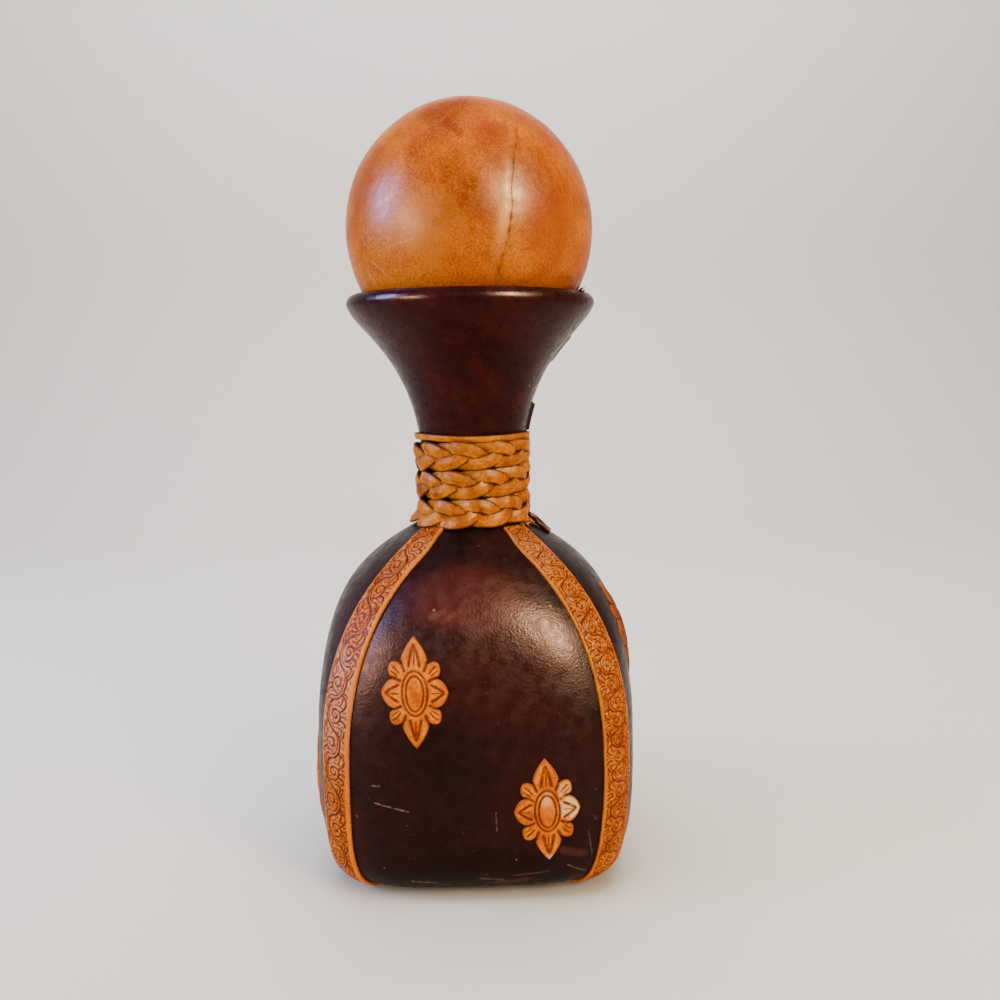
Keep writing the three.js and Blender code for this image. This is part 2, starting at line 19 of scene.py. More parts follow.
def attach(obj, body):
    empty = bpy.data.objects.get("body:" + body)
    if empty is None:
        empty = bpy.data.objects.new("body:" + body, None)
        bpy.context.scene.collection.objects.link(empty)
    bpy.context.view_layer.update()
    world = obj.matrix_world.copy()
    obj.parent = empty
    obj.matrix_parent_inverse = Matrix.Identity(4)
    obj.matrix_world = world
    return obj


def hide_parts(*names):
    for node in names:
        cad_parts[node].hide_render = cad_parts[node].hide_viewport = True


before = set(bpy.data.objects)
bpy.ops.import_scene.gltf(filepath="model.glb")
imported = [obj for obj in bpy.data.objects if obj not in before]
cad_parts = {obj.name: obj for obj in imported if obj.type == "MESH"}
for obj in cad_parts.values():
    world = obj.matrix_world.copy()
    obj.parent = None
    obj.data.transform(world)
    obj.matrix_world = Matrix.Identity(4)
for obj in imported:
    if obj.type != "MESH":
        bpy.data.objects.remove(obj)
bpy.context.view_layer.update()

LOG = logging.getLogger("decanter")
MM = 0.001
FULL_TURN = 2.0 * math.pi
QUARTER = math.pi / 2
Array = np.ndarray
Marks = dict[str, Array]
Material = bpy.types.Material
Path = tuple[Array, Array, Array]  # places, facing directions, squeeze of the width
Piece = bpy.types.Object
Place = tuple[float, float, float]
Socket = bpy.types.NodeSocket
Tone = tuple[int, int, int]
Tree = bpy.types.NodeTree


class Body(Enum):
    """The two bodies of the part."""

    BOTTLE = "bottle"
    STOPPER = "stopper"


class Face(Enum):
    """The four faces of the body, counted in quarter turns from the front."""

    FRONT = 0
    RIGHT = 1
    BACK = 2
    LEFT = 3

    @property
    def label(self) -> str:
        """The face's word in the piece names."""
        return self.name.lower()

    @property
    def next_label(self) -> str:
        """The word of the face round the next corner."""
        return Face((self.value + 1) % len(Face)).label


class Curve(IntEnum):
    """The curves of the bottle's half section, from the middle of the underside to the lip."""

    UNDERSIDE = 0
    FOOT = 1
    SHOULDER = 2
    FILLET = 3
    NECK = 4
    FLARE = 5
    LIP = 6


def smooth(value: Array, low: float, high: float) -> Array:
    """Ease a value from 0 at low to 1 at high."""
    share = np.clip((value - low) / (high - low), 0.0, 1.0)
    return share * share * (3.0 - 2.0 * share)


def bezier(corners: Sequence[tuple[float, float]], count: int = 1500) -> Array:
    """Sample a curve with any number of control points.

    Args:
        corners: Control points as radius and height.
        count: Number of samples.

    Returns:
        Points of shape (count, 2).
    """
    share = np.linspace(0.0, 1.0, count)[:, None]
    layer = [np.array(corner, float)[None, :] for corner in corners]
    while len(layer) > 1:
        layer = [a + share * (b - a) for a, b in zip(layer, layer[1:])]
    return layer[0]


def sway(points: Array, wave: float, seed: int, waves: int = 7) -> Array:
    """A gentle unevenness through space, from a few crossed waves.

    Args:
        points: Places of shape (..., 3).
        wave: Typical length of a wave.
        seed: Fixes the waves' directions.
        waves: How many waves are added up.

    Returns:
        Values of about -1 to 1, one for each place.
    """
    draw = np.random.default_rng(seed)
    total = np.zeros(points.shape[:-1])
    for _ in range(waves):
        direction = draw.normal(size=3)
        direction *= FULL_TURN / (wave * draw.uniform(0.7, 1.6) * np.linalg.norm(direction))
        total += np.sin(points @ direction + draw.uniform(0.0, FULL_TURN))
    return total / math.sqrt(2.0 * waves)


def round_over(distance: Array, radius: float) -> Array:
    """How far an edge that is rounded to a radius has dropped at a distance from it."""
    inward = np.clip(radius - distance, 0.0, radius)
    return radius - np.sqrt(radius * radius - inward * inward)


def lengths_along(points: Array) -> Array:
    """Length along a line at each of its points."""
    steps = np.linalg.norm(np.diff(points, axis=0), axis=1)
    return np.concatenate([[0.0], np.cumsum(steps)])


def gap_to(line: Array, at: Array) -> Array:
    """Distance from flat places to a line.

    Args:
        line: Points along the line, shape (m, 2).
        at: Places of shape (n, 2).

    Returns:
        The distances.
    """
    nearest = np.full(len(at), np.inf)
    for a, b in zip(line, line[1:]):
        run = b - a
        share = np.clip((at - a) @ run / max(float(run @ run), 1e-9), 0.0, 1.0)
        away = at - a - share[:, None] * run
        nearest = np.minimum(nearest, np.einsum("ij,ij->i", away, away))
    return np.sqrt(nearest)


def full_turn(count: int) -> Array:
    """Angles once round, evenly spaced, without the one that closes the ring."""
    return np.linspace(0.0, FULL_TURN, count, endpoint=False)


def spokes(angle: Array) -> Array:
    """Flat directions at angles from +X."""
    return np.stack([np.cos(angle), np.sin(angle)], axis=-1)


def on_axis(height: float) -> Array:
    """The place on the part's axis at a height."""
    return np.array([0.0, 0.0, height])


def around_axis(radius: Array, angle: Array, height: Array) -> Array:
    """Places about the part's axis, shape (..., 3)."""
    places = np.broadcast_arrays(radius * np.cos(angle), radius * np.sin(angle), height)
    return np.stack(places, axis=-1)


def unit(vectors: Array) -> Array:
    """The same directions with a length of 1."""
    return vectors / np.linalg.norm(vectors, axis=-1, keepdims=True)


# Meshes


def in_scene(name: str, data: bpy.types.ID) -> Piece:
    """Make an object of a mesh, light or camera, linked to the scene.

    Args:
        name: The object's name.
        data: What it shows.

    Returns:
        The new object.
    """
    made = bpy.data.objects.new(name, data)
    bpy.context.scene.collection.objects.link(made)
    return made


def new_piece(name: str, points: Array, faces: list, marks: Marks | None = None) -> Piece:
    """Make a smooth mesh piece at the origin.

    Args:
        name: The piece's name.
        points: Places in millimetres, shape (n, 3).
        faces: Lists of point numbers, wound to face outward.
        marks: Float attributes for the finish, one value for each point.

    Returns:
        The new object, linked to the scene.
    """
    mesh = bpy.data.meshes.new(name)
    mesh.from_pydata((points * MM).tolist(), [], faces)
    mesh.shade_smooth()
    for mark, values in (marks or {}).items():
        layer = mesh.attributes.new(mark, "FLOAT", "POINT")
        layer.data.foreach_set("value", np.asarray(values, np.float32).ravel())
    mesh.validate()
    return in_scene(name, mesh)


def quads(numbers: Array) -> list:
    """Join a grid of point numbers into faces that look along columns crossed with rows."""
    corners = (numbers[:-1, :-1], numbers[:-1, 1:], numbers[1:, 1:], numbers[1:, :-1])
    return np.stack(corners, axis=-1).reshape(-1, 4).tolist()


def zip_rim(fine: Array, coarse: Array, turned: bool) -> list:
    """Close the rim between a fine border and a coarse one that follows it.

    Args:
        fine: Point numbers of the outer border.
        coarse: Point numbers of the inner border, one for every few of the outer one.
        turned: Whether the faces are wound the other way round.

    Returns:
        Triangles of the rim.
    """
    step = (len(fine) - 1) // (len(coarse) - 1)
    half = step // 2
    faces = []
    for k in range(len(coarse) - 1):
        start = k * step
        for j in range(step):
            faces.append([fine[start + j], coarse[k if j < half else k + 1], fine[start + j + 1]])
        faces.append([fine[start + half], coarse[k], coarse[k + 1]])
    return [face[::-1] for face in faces] if turned else faces


def leather_sheet(name: str, outer: Array, inner: Array, marks: Marks) -> Piece:
    """Make one closed sheet of leather from its two sides.

    Args:
        name: The piece's name.
        outer: Grid of places on the face side, shape (rows, columns, 3), columns counterclockwise.
        inner: Coarser grid of places on the flesh side, over the same ground.
        marks: Float attributes on the face side's grid.

    Returns:
        The new piece.
    """
    top = np.arange(outer.shape[0] * outer.shape[1]).reshape(outer.shape[:2])
    under = top.size + np.arange(inner.shape[0] * inner.shape[1]).reshape(inner.shape[:2])
    faces = quads(top) + [face[::-1] for face in quads(under)]
    faces += zip_rim(top[0], under[0], False) + zip_rim(top[-1], under[-1], True)
    faces += zip_rim(top[:, 0], under[:, 0], True) + zip_rim(top[:, -1], under[:, -1], False)
    points = np.concatenate([outer.reshape(-1, 3), inner.reshape(-1, 3)])
    flesh = np.zeros(under.size)
    spread = {mark: np.concatenate([values.ravel(), flesh]) for mark, values in marks.items()}
    return new_piece(name, points, faces, spread)


def ring_skin(name: str, start: Array, rings: Array, end: Array, marks: Marks | None = None) -> Piece:
    """Make a closed skin through rings, ended by one point at each end.

    Args:
        name: The piece's name.
        start: The point before the first ring.
        rings: Places of shape (rings, around, 3).
        end: The point after the last ring.
        marks: Float attributes, with the start and end points last.

    Returns:
        The new piece, facing outward.
    """
    count, around = rings.shape[:2]
    numbers = np.arange(count * around).reshape(count, around)
    wrapped = np.concatenate([numbers, numbers[:, :1]], axis=1)
    first, last = count * around, count * around + 1
    faces = quads(wrapped)
    faces += [[first, b, a] for a, b in zip(wrapped[0], wrapped[0][1:])]
    faces += [[last, a, b] for a, b in zip(wrapped[-1], wrapped[-1][1:])]
    points = np.concatenate([rings.reshape(-1, 3), start[None], end[None]])
    loops = np.concatenate([rings, rings[:, :1]], axis=1)
    across, up = loops[:-1, 1:] - loops[:-1, :-1], loops[1:, :-1] - loops[:-1, :-1]
    from_middle = loops[:-1, :-1] - rings.mean(axis=(0, 1))
    volume = np.einsum("ijk,ijk->", from_middle, np.cross(across, up))
    outward = faces if volume > 0 else [face[::-1] for face in faces]
    return new_piece(name, points, outward, marks)


def fit(piece: Piece, body: Body, slot: str, *nodes: str) -> None:
    """Give a finished piece its body, and hide the solids it stands for.

    Args:
        piece: The finished piece.
        body: The body it moves with.
        slot: The record's material slot; not used.
        nodes: The solids that it replaces.
    """
    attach(piece, body.value)
    if nodes:
        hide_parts(*nodes)
    LOG.info("%s: %d points on %s", piece.name, len(piece.data.vertices), body.value)


# Node trees


class TreeBuilder:
    """Adds nodes to a shader or geometry tree and wires them."""

    def __init__(self, tree: Tree) -> None:
        """Work on this tree."""
        self.tree = tree

    def add(self, kind: str, inputs: dict | None = None, **settings: object) -> bpy.types.Node:
        """Add one node.

        Args:
            kind: The node's type.
            inputs: Values or output sockets, by the input's name or number.
            settings: Properties of the node itself.

        Returns:
            The new node.
        """
        node = self.tree.nodes.new(kind)
        for name, value in settings.items():
            setattr(node, name, value)
        for key, value in (inputs or {}).items():
            if isinstance(value, Socket):
                self.tree.links.new(value, node.inputs[key])
            else:
                node.inputs[key].default_value = value
        return node

    def math(self, operation: str, first: object, second: object = 0.0) -> Socket:
        """One sum on values or sockets."""
        return self.add("ShaderNodeMath", {0: first, 1: second}, operation=operation).outputs[0]

    def ease(self, value: Socket, low: float, high: float, start: object = 0.0, end: object = 1.0) -> Socket:
        """Map a value smoothly from one range to another.

        Args:
            value: The socket to map.
            low: Value that gives the start.
            high: Value that gives the end.
            start: Result at and beyond low.
            end: Result at and beyond high.

        Returns:
            The mapped value.
        """
        ranges = {"From Min": low, "From Max": high, "To Min": start, "To Max": end}
        node = self.add("ShaderNodeMapRange", {"Value": value, **ranges}, interpolation_type="SMOOTHSTEP")
        return node.outputs["Result"]


def linear(tone: Tone) -> tuple[float, float, float, float]:
    """Turn a screen colour into the light values that shaders take.

    Args:
        tone: Red, green and blue from 0 to 255.

    Returns:
        Linear red, green and blue, and full opacity.
    """
    shares = [value / 255.0 for value in tone]
    values = [s / 12.92 if s <= 0.04045 else ((s + 0.055) / 1.055) ** 2.4 for s in shares]
    return values[0], values[1], values[2], 1.0


class ShaderBuilder(TreeBuilder):
    """A material's tree, with the pieces that several finishes share.

    A mix node has sockets for each type of data, so those for colours go by number.
    """

    MIX_INPUTS = (0, 6, 7)
    MIX_RESULT = 2

    def __init__(self, name: str) -> None:
        """Start a material with an empty tree.

        Args:
            name: The material's name.
        """
        self.material = bpy.data.materials.new(name)
        self.material.use_nodes = True
        super().__init__(self.material.node_tree)
        self.tree.nodes.clear()
        self.place = self.add("ShaderNodeTexCoord").outputs["Object"]

    def noise(self, size: float, detail: float = 3.0, roughness: float = 0.55,
              distortion: float = 0.0) -> Socket:
        """Cloudy noise.

        Args:
            size: Size of a cloud in millimetres.
            detail: Number of finer layers.
            roughness: Strength of the finer layers.
            distortion: How far the clouds are swirled.

        Returns:
            A value of about 0.2 to 0.8.
        """
        return self.add("ShaderNodeTexNoise", {
            "Vector": self.place, "Scale": 1.0 / (size * MM), "Detail": detail,
            "Roughness": roughness, "Distortion": distortion}).outputs["Fac"]

    def cells(self, size: float, feature: str = "F1") -> bpy.types.Node:
        """Voronoi cells of a size in millimetres."""
        inputs = {"Vector": self.place, "Scale": 1.0 / (size * MM)}
        return self.add("ShaderNodeTexVoronoi", inputs, feature=feature)

    def vector(self, operation: str, first: object, second: object) -> bpy.types.Node:
        """One sum on vectors or sockets."""
        return self.add("ShaderNodeVectorMath", {0: first, 1: second}, operation=operation)

    def length(self, vector: Socket) -> Socket:
        """The length of a vector."""
        return self.add("ShaderNodeVectorMath", {0: vector}, operation="LENGTH").outputs["Value"]

    def mix(self, share: object, first: object, second: object) -> Socket:
        """Mix two colours.

        Args:
            share: How much of the second colour shows.
            first: A tone or a colour socket.
            second: A tone or a colour socket.

        Returns:
            The mixed colour.
        """
        colours = [linear(c) if isinstance(c, tuple) else c for c in (first, second)]
        inputs = dict(zip(self.MIX_INPUTS, (share, *colours)))
        return self.add("ShaderNodeMix", inputs, data_type="RGBA").outputs[self.MIX_RESULT]

    def ramp(self, value: Socket, stops: Sequence[tuple[float, Tone]]) -> Socket:
        """Colour a value by a row of tones.

        Args:
            value: The socket to colour.
            stops: Positions and tones, in order.

        Returns:
            The colour.
        """
        node = self.add("ShaderNodeValToRGB", {"Fac": value})
        band = node.color_ramp.elements
        while len(band) < len(stops):
            band.new(0.5)
        for element, (position, tone) in zip(band, stops):
            element.position = position
            element.color = linear(tone)
        return node.outputs["Color"]

    def mark(self, name: str) -> Socket:
        """A float attribute of the piece."""
        return self.add("ShaderNodeAttribute", attribute_name=name).outputs["Fac"]

    def bump(self, height: Socket, depth: float, under: Socket | None = None) -> Socket:
        """Raise a height on the surface.

        Args:
            height: The height, 0 to 1.
            depth: What a height of 1 stands for, in millimetres.
            under: An earlier bump to lie on.

        Returns:
            The surface's normal.
        """
        inputs = {"Strength": 1.0, "Distance": depth * MM, "Height": height}
        if under is not None:
            inputs["Normal"] = under
        return self.add("ShaderNodeBump", inputs).outputs["Normal"]

    def finish(self, sockets: dict[str, object]) -> Material:
        """Join the surface shader to the output.

        Args:
            sockets: Values and links for the surface shader.

        Returns:
            The finished material.
        """
        shader = self.add("ShaderNodeBsdfPrincipled", sockets)
        self.add("ShaderNodeOutputMaterial", {"Surface": shader.outputs["BSDF"]})
        return self.material


@dataclass(frozen=True)
class Patch:
    """A soft-edged patch of another tone on a finish: some are stains and wear, others painted highlights and
    painted shade.
    """

    centre: Place
    size: Place
    tone: Tone
    strength: float
    ragged: float = 0.8
    grain: float = 4.0
    full_within: float = 0.45

    def lay(self, build: ShaderBuilder, colour: Socket) -> Socket:
        """Lay the patch over a colour.

        Args:
            build: The material's tree.
            colour: The colour so far.

        Returns:
            The colour with the patch on it.
        """
        offset = build.vector("SUBTRACT", build.place, tuple(c * MM for c in self.centre)).outputs[0]
        scaled = build.vector("DIVIDE", offset, tuple(s * MM for s in self.size)).outputs[0]
        edge = build.math("MULTIPLY_ADD", build.noise(self.grain, detail=4.0, roughness=0.65), self.ragged)
        edge.node.inputs[2].default_value = -self.ragged / 2.0
        reach = build.math("ADD", build.length(scaled), edge)
        share = build.ease(reach, 1.0, self.full_within, 0.0, self.strength)
        return build.mix(share, colour, self.tone)


@dataclass(frozen=True)
class Scratch:
    """A pale scratch or rub on the front, between two places given across and up."""

    start: tuple[float, float]
    end: tuple[float, float]
    width: float
    strength: float
    tone: Tone = (150, 118, 112)
    grain: float = 1.6
    full_within: float = 0.3

    def lay(self, build: ShaderBuilder, colour: Socket) -> Socket:
        """Lay the scratch over a colour.

        Args:
            build: The material's tree.
            colour: The colour so far.

        Returns:
            The colour with the scratch on it.
        """
        first = np.array([self.start[0], 0.0, self.start[1]]) * MM
        run = np.array([self.end[0], 0.0, self.end[1]]) * MM - first
        flat = build.vector("MULTIPLY", build.place, (1.0, 0.0, 1.0)).outputs[0]
        offset = build.vector("SUBTRACT", flat, tuple(first)).outputs[0]
        along = build.vector("DOT_PRODUCT", offset, tuple(run / float(run @ run))).outputs["Value"]
        held = build.add("ShaderNodeClamp", {"Value": along}).outputs[0]
        foot = build.add("ShaderNodeVectorMath", {0: tuple(run), "Scale": held}, operation="SCALE").outputs[0]
        distance = build.length(build.vector("SUBTRACT", offset, foot).outputs[0])
        line = build.ease(distance, self.width * MM, self.width * MM * self.full_within, 0.0, self.strength)
        broken = build.math("MULTIPLY", line, build.ease(build.noise(self.grain), 0.3, 0.7))
        return build.mix(broken, colour, self.tone)


# Finishes


@dataclass(frozen=True)
class Finish:
    """A procedural material for one of the record's slots."""

    name: str
    slot: str

    def material(self) -> Material:
        """Build the material on the piece's own coordinates."""
        raise NotImplementedError


@dataclass(frozen=True)
class Leather(Finish):
    """A dye-coloured leather with clouds of tone, pebbled grain, tooling and wear; some finishes also carry
    painted highlights and painted shade in their patches and edge tone.
    """

    dark: Tone
    base: Tone
    light: Tone
    cloud: float = 14.0
    grain: float = 0.9
    grain_depth: float = 0.05
    roughness: float = 0.42
    roughness_spread: float = 0.1
    specular: float = 0.06
    shine: Tone = (255, 214, 150)
    groove: Tone | None = None
    edge: Tone | None = None
    mottle: float = 0.45
    dust: float = 0.0
    dust_tone: Tone = (168, 140, 132)
    rim_strength: float = 0.85
    unevenness: float = 0.12
    patches: tuple[Patch, ...] = ()
    scratches: tuple[Scratch, ...] = ()

    def material(self) -> Material:
        """Build the leather's material.

        Returns:
            A procedural material on the piece's own coordinates.
        """
        build = ShaderBuilder(self.name)
        clouds = build.noise(self.cloud, detail=5.0, roughness=0.62, distortion=0.5)
        colour = build.ramp(clouds, [(0.32, self.dark), (0.5, self.base), (0.68, self.light)])
        pores = build.noise(self.grain * 1.4, roughness=0.6)
        colour = build.mix(build.ease(pores, 0.56, 0.36, 0.0, self.mottle), colour, self.dark)
        colour = build.mix(build.ease(pores, 0.5, 0.68, 0.0, 0.7 * self.mottle), colour, self.light)
        for layer in (*self.patches, *self.scratches):
            colour = layer.lay(build, colour)
        if self.edge:
            rim = build.ease(build.mark("rim"), 0.0, 1.0, 0.0, self.rim_strength)
            colour = build.mix(rim, colour, self.edge)
        if self.groove:
            worn = build.ease(build.noise(1.8), 0.25, 0.55, 0.6, 1.0)
            colour = build.mix(build.math("MULTIPLY", build.mark("tooling"), worn), colour, self.groove)
        if self.dust:
            colour = self.dusted(build, colour)
        pebbles = build.cells(self.grain, "SMOOTH_F1").outputs["Distance"]
        fine = build.noise(self.grain * 0.45, detail=2.0)
        height = build.math("ADD", build.math("MULTIPLY", pebbles, 0.7), build.math("MULTIPLY", fine, 0.5))
        dents = build.bump(build.noise(6.0), self.unevenness)
        smoothest, roughest = self.roughness - self.roughness_spread, self.roughness + self.roughness_spread
        return build.finish({
            "Base Color": colour,
            "Roughness": build.ease(build.noise(self.grain * 5.0, detail=4.0), 0.3, 0.7, smoothest, roughest),
            "Normal": build.bump(height, self.grain_depth, dents),
            "Specular IOR Level": self.specular,
            "Specular Tint": linear(self.shine),
        })

    def dusted(self, build: ShaderBuilder, colour: Socket) -> Socket:
        """Scatter pale specks of wear over a colour.

        Args:
            build: The material's tree.
            colour: The colour so far.

        Returns:
            The colour with the specks on it.
        """
        for spread, size, share in ((7.0, 0.09, 1.0), (3.2, 0.1, 0.4)):
            speck = build.ease(build.cells(spread).outputs["Distance"], size, size / 2.0)
            picked = build.ease(build.noise(2.3 * spread, detail=2.0), 0.5, 0.62, 0.0, share * self.dust)
            colour = build.mix(build.math("MULTIPLY", speck, picked), colour, self.dust_tone)
        return colour


@dataclass(frozen=True)
class BottleGlass(Finish):
    """Clear bottle glass with a faint olive tint and uneven walls."""

    name: str = "olive_bottle_glass"
    slot: str = "bottle_glass"
    tint: Tone = (196, 206, 172)
    deep: Tone = (150, 162, 118)
    roughness: float = 0.06
    clearness: float = 0.85
    refraction: float = 1.5
    specular: float = 0.1

    def material(self) -> Material:
        """Build the glass's material.

        Returns:
            A procedural material on the piece's own coordinates.
        """
        build = ShaderBuilder(self.name)
        streaks = build.noise(30.0, roughness=0.5, distortion=1.2)
        return build.finish({
            "Base Color": build.ramp(streaks, [(0.3, self.deep), (0.65, self.tint)]),
            "Roughness": self.roughness,
            "Transmission Weight": self.clearness,
            "IOR": self.refraction,
            "Specular IOR Level": self.specular,
            "Normal": build.bump(streaks, 0.3),
        })


@dataclass(frozen=True)
class Cork(Finish):
    """Natural cork with dark pores."""

    name: str = "natural_cork"
    slot: str = "stopper_cork"
    pale: Tone = (205, 165, 115)
    base: Tone = (178, 134, 86)
    pore: Tone = (84, 54, 32)
    specular: float = 0.03

    def material(self) -> Material:
        """Build the cork's material.

        Returns:
            A procedural material on the piece's own coordinates.
        """
        build = ShaderBuilder(self.name)
        clouds = build.noise(5.0, detail=5.0, roughness=0.7, distortion=0.3)
        colour = build.ramp(clouds, [(0.35, self.base), (0.65, self.pale)])
        pits = build.ease(build.cells(3.2).outputs["Distance"], 0.34, 0.16)
        streaked = build.math("MULTIPLY", pits, build.ease(build.noise(2.2), 0.42, 0.56))
        colour = build.mix(streaked, colour, self.pore)
        height = build.math("SUBTRACT", build.noise(0.9), streaked)
        return build.finish({
            "Base Color": colour,
            "Roughness": build.ease(clouds, 0.3, 0.7, 0.92, 0.8),
            "Specular IOR Level": self.specular,
            "Normal": build.bump(height, 0.25),
        })


@dataclass(frozen=True)
class TurnedWood(Finish):
    """Plain turned wood with growth rings."""

    name: str = "turned_beech"
    slot: str = "stopper_wood"
    pale: Tone = (206, 170, 122)
    ring: Tone = (158, 116, 72)
    specular: float = 0.03

    def material(self) -> Material:
        """Build the wood's material.

        Returns:
            A procedural material on the piece's own coordinates.
        """
        build = ShaderBuilder(self.name)
        waves = {"Scale": 45.0, "Distortion": 5.0, "Detail": 3.0, "Detail Scale": 1.5}
        wave = build.add("ShaderNodeTexWave", {"Vector": build.place, **waves}, wave_type="RINGS")
        rings = wave.outputs["Fac"]
        grain = build.noise(1.2, detail=4.0, roughness=0.7)
        colour = build.mix(build.math("MULTIPLY", rings, grain), self.pale, self.ring)
        return build.finish({
            "Base Color": colour,
            "Roughness": build.ease(grain, 0.3, 0.7, 0.55, 0.75),
            "Specular IOR Level": self.specular,
            "Normal": build.bump(grain, 0.06),
        })


RUBBED: Tone = (112, 62, 54)
DARK_SHINE: Tone = (255, 192, 170)
SCORED: Tone = (228, 172, 106)
INK_SPOT: Tone = (116, 38, 2)
OXBLOOD = Leather(
    "oxblood_panel_leather", "dark_leather", dark=(12, 3, 3), base=(25, 6, 6), light=(42, 10, 9),
    cloud=26.0, grain=0.8, grain_depth=0.1, roughness=0.38, roughness_spread=0.08, specular=0.09,
    shine=DARK_SHINE, dust=0.5)
OXBLOOD_FRONT = replace(
    OXBLOOD, name="oxblood_front_leather",
    patches=(
        # Darker towards the bottom of the front panel.
        Patch((0, -55, 4), (70, 40, 22), (12, 4, 4), 0.7, 0.5, 9.0),
        Patch((8, -60, 84), (30, 30, 26), (70, 15, 12), 0.25, 0.9, 10.0),
        # Paler, redder patch on the front shoulder: partly the leather's own tone, partly painted light
        # falling from above.
        Patch((-4, -46, 110), (30, 26, 15), (92, 33, 28), 0.42, 0.5, 9.0),
    ),
    scratches=(
        Scratch((-15.7, 104.2), (-10.8, 106.4), 1.3, 0.6, RUBBED, 0.28),
        Scratch((-11.4, 102.6), (-7.2, 105.6), 1.2, 0.5, RUBBED, 0.28),
        Scratch((-5.5, 106.4), (-3.2, 109.8), 1.2, 0.5, RUBBED, 0.28),
        Scratch((-36.1, 39.7), (-24.4, 36.8), 0.42, 0.55),
        Scratch((-36.8, 46.0), (-34.4, 46.0), 0.55, 0.6),
        Scratch((-43.0, 34.0), (-42.6, 33.2), 0.5, 0.5),
        Scratch((41.8, 31.9), (42.4, 31.0), 0.6, 0.6),
        Scratch((30.2, 20.4), (37.9, 18.0), 2.2, 0.4, RUBBED, 0.3),
        Scratch((6.0, 7.0), (18.4, 8.5), 1.2, 0.5, RUBBED, 0.4),
        Scratch((-24.0, 8.4), (-15.0, 7.6), 0.5, 0.5, grain=0.6),
        Scratch((0.0, 9.6), (9.0, 8.6), 0.5, 0.5, grain=0.6),
        Scratch((13.0, 10.5), (25.0, 11.8), 0.5, 0.3, grain=0.6),
        Scratch((32.0, 14.0), (39.0, 9.6), 0.5, 0.5, grain=0.6),
        Scratch((39.5, 27.0), (41.0, 17.0), 0.4, 0.3, grain=0.6),
        Scratch((6.4, 36.0), (6.7, 29.0), 0.4, 0.35, grain=0.8),
    ))
NECK_OXBLOOD = Leather(
    "oxblood_sleeve_leather", "dark_leather", dark=(25, 7, 6), base=(41, 11, 9), light=(58, 16, 13),
    cloud=18.0, grain=0.7, grain_depth=0.05, roughness=0.3, roughness_spread=0.08, specular=0.07,
    shine=DARK_SHINE, edge=(96, 50, 32), dust=0.4)
FRAYED_FIBRE = replace(NECK_OXBLOOD, name="frayed_fibre_leather", base=(70, 30, 16), light=(112, 58, 30))
STRIP_TAN = Leather(
    "tooled_strip_leather", "strip_leather", dark=(144, 60, 2), base=(190, 95, 3), light=(214, 122, 12),
    cloud=11.0, grain=0.6, grain_depth=0.05, roughness=0.42, specular=0.05, mottle=0.95,
    groove=(84, 20, 8), edge=(208, 114, 20), patches=(
        # These two pale patches are painted light where the front strips turn up over the shoulder towards
        # the light from above.
        Patch((-18, -32, 122), (16, 20, 12), (228, 152, 84), 0.35, 0.6, 5.0),
        Patch((20, -32, 122), (16, 20, 12), (228, 152, 84), 0.3, 0.6, 5.0),
        # Painted highlight: a pale glare on the left front strip.
        Patch((-52, -52, 74), (16, 16, 30), (226, 158, 122), 0.4, 0.6, 6.0),
    ))
MEDALLION_TAN = Leather(
    "stamped_medallion_leather", "medallion_leather", dark=(160, 64, 1), base=(212, 105, 2),
    light=(232, 138, 10), cloud=6.0, grain=0.5, grain_depth=0.06, roughness=0.5, specular=0.045,
    groove=(108, 36, 4), edge=(150, 68, 8), patches=(
        Patch((33.4, -60, 37.5), (6.0, 12, 5.5), (242, 208, 150), 0.75, 1.5, 1.8),
        Patch((31.0, -60, 44), (4, 12, 4), (238, 186, 110), 0.55, 1.5, 1.8),
        Patch((24.3, -60, 40.5), (3.2, 12, 3.6), (236, 176, 116), 0.6, 1.3, 1.6),
        Patch((24.5, -60, 17.5), (3, 12, 3), (238, 196, 136), 0.6, 1.4, 1.8),
        # Painted shade: darkens the right face's upper medallion, which is turned away from the lamps.
        Patch((55, -17, 90), (14, 16, 26), (84, 36, 24), 0.85, 0.4, 6.0),
    ))
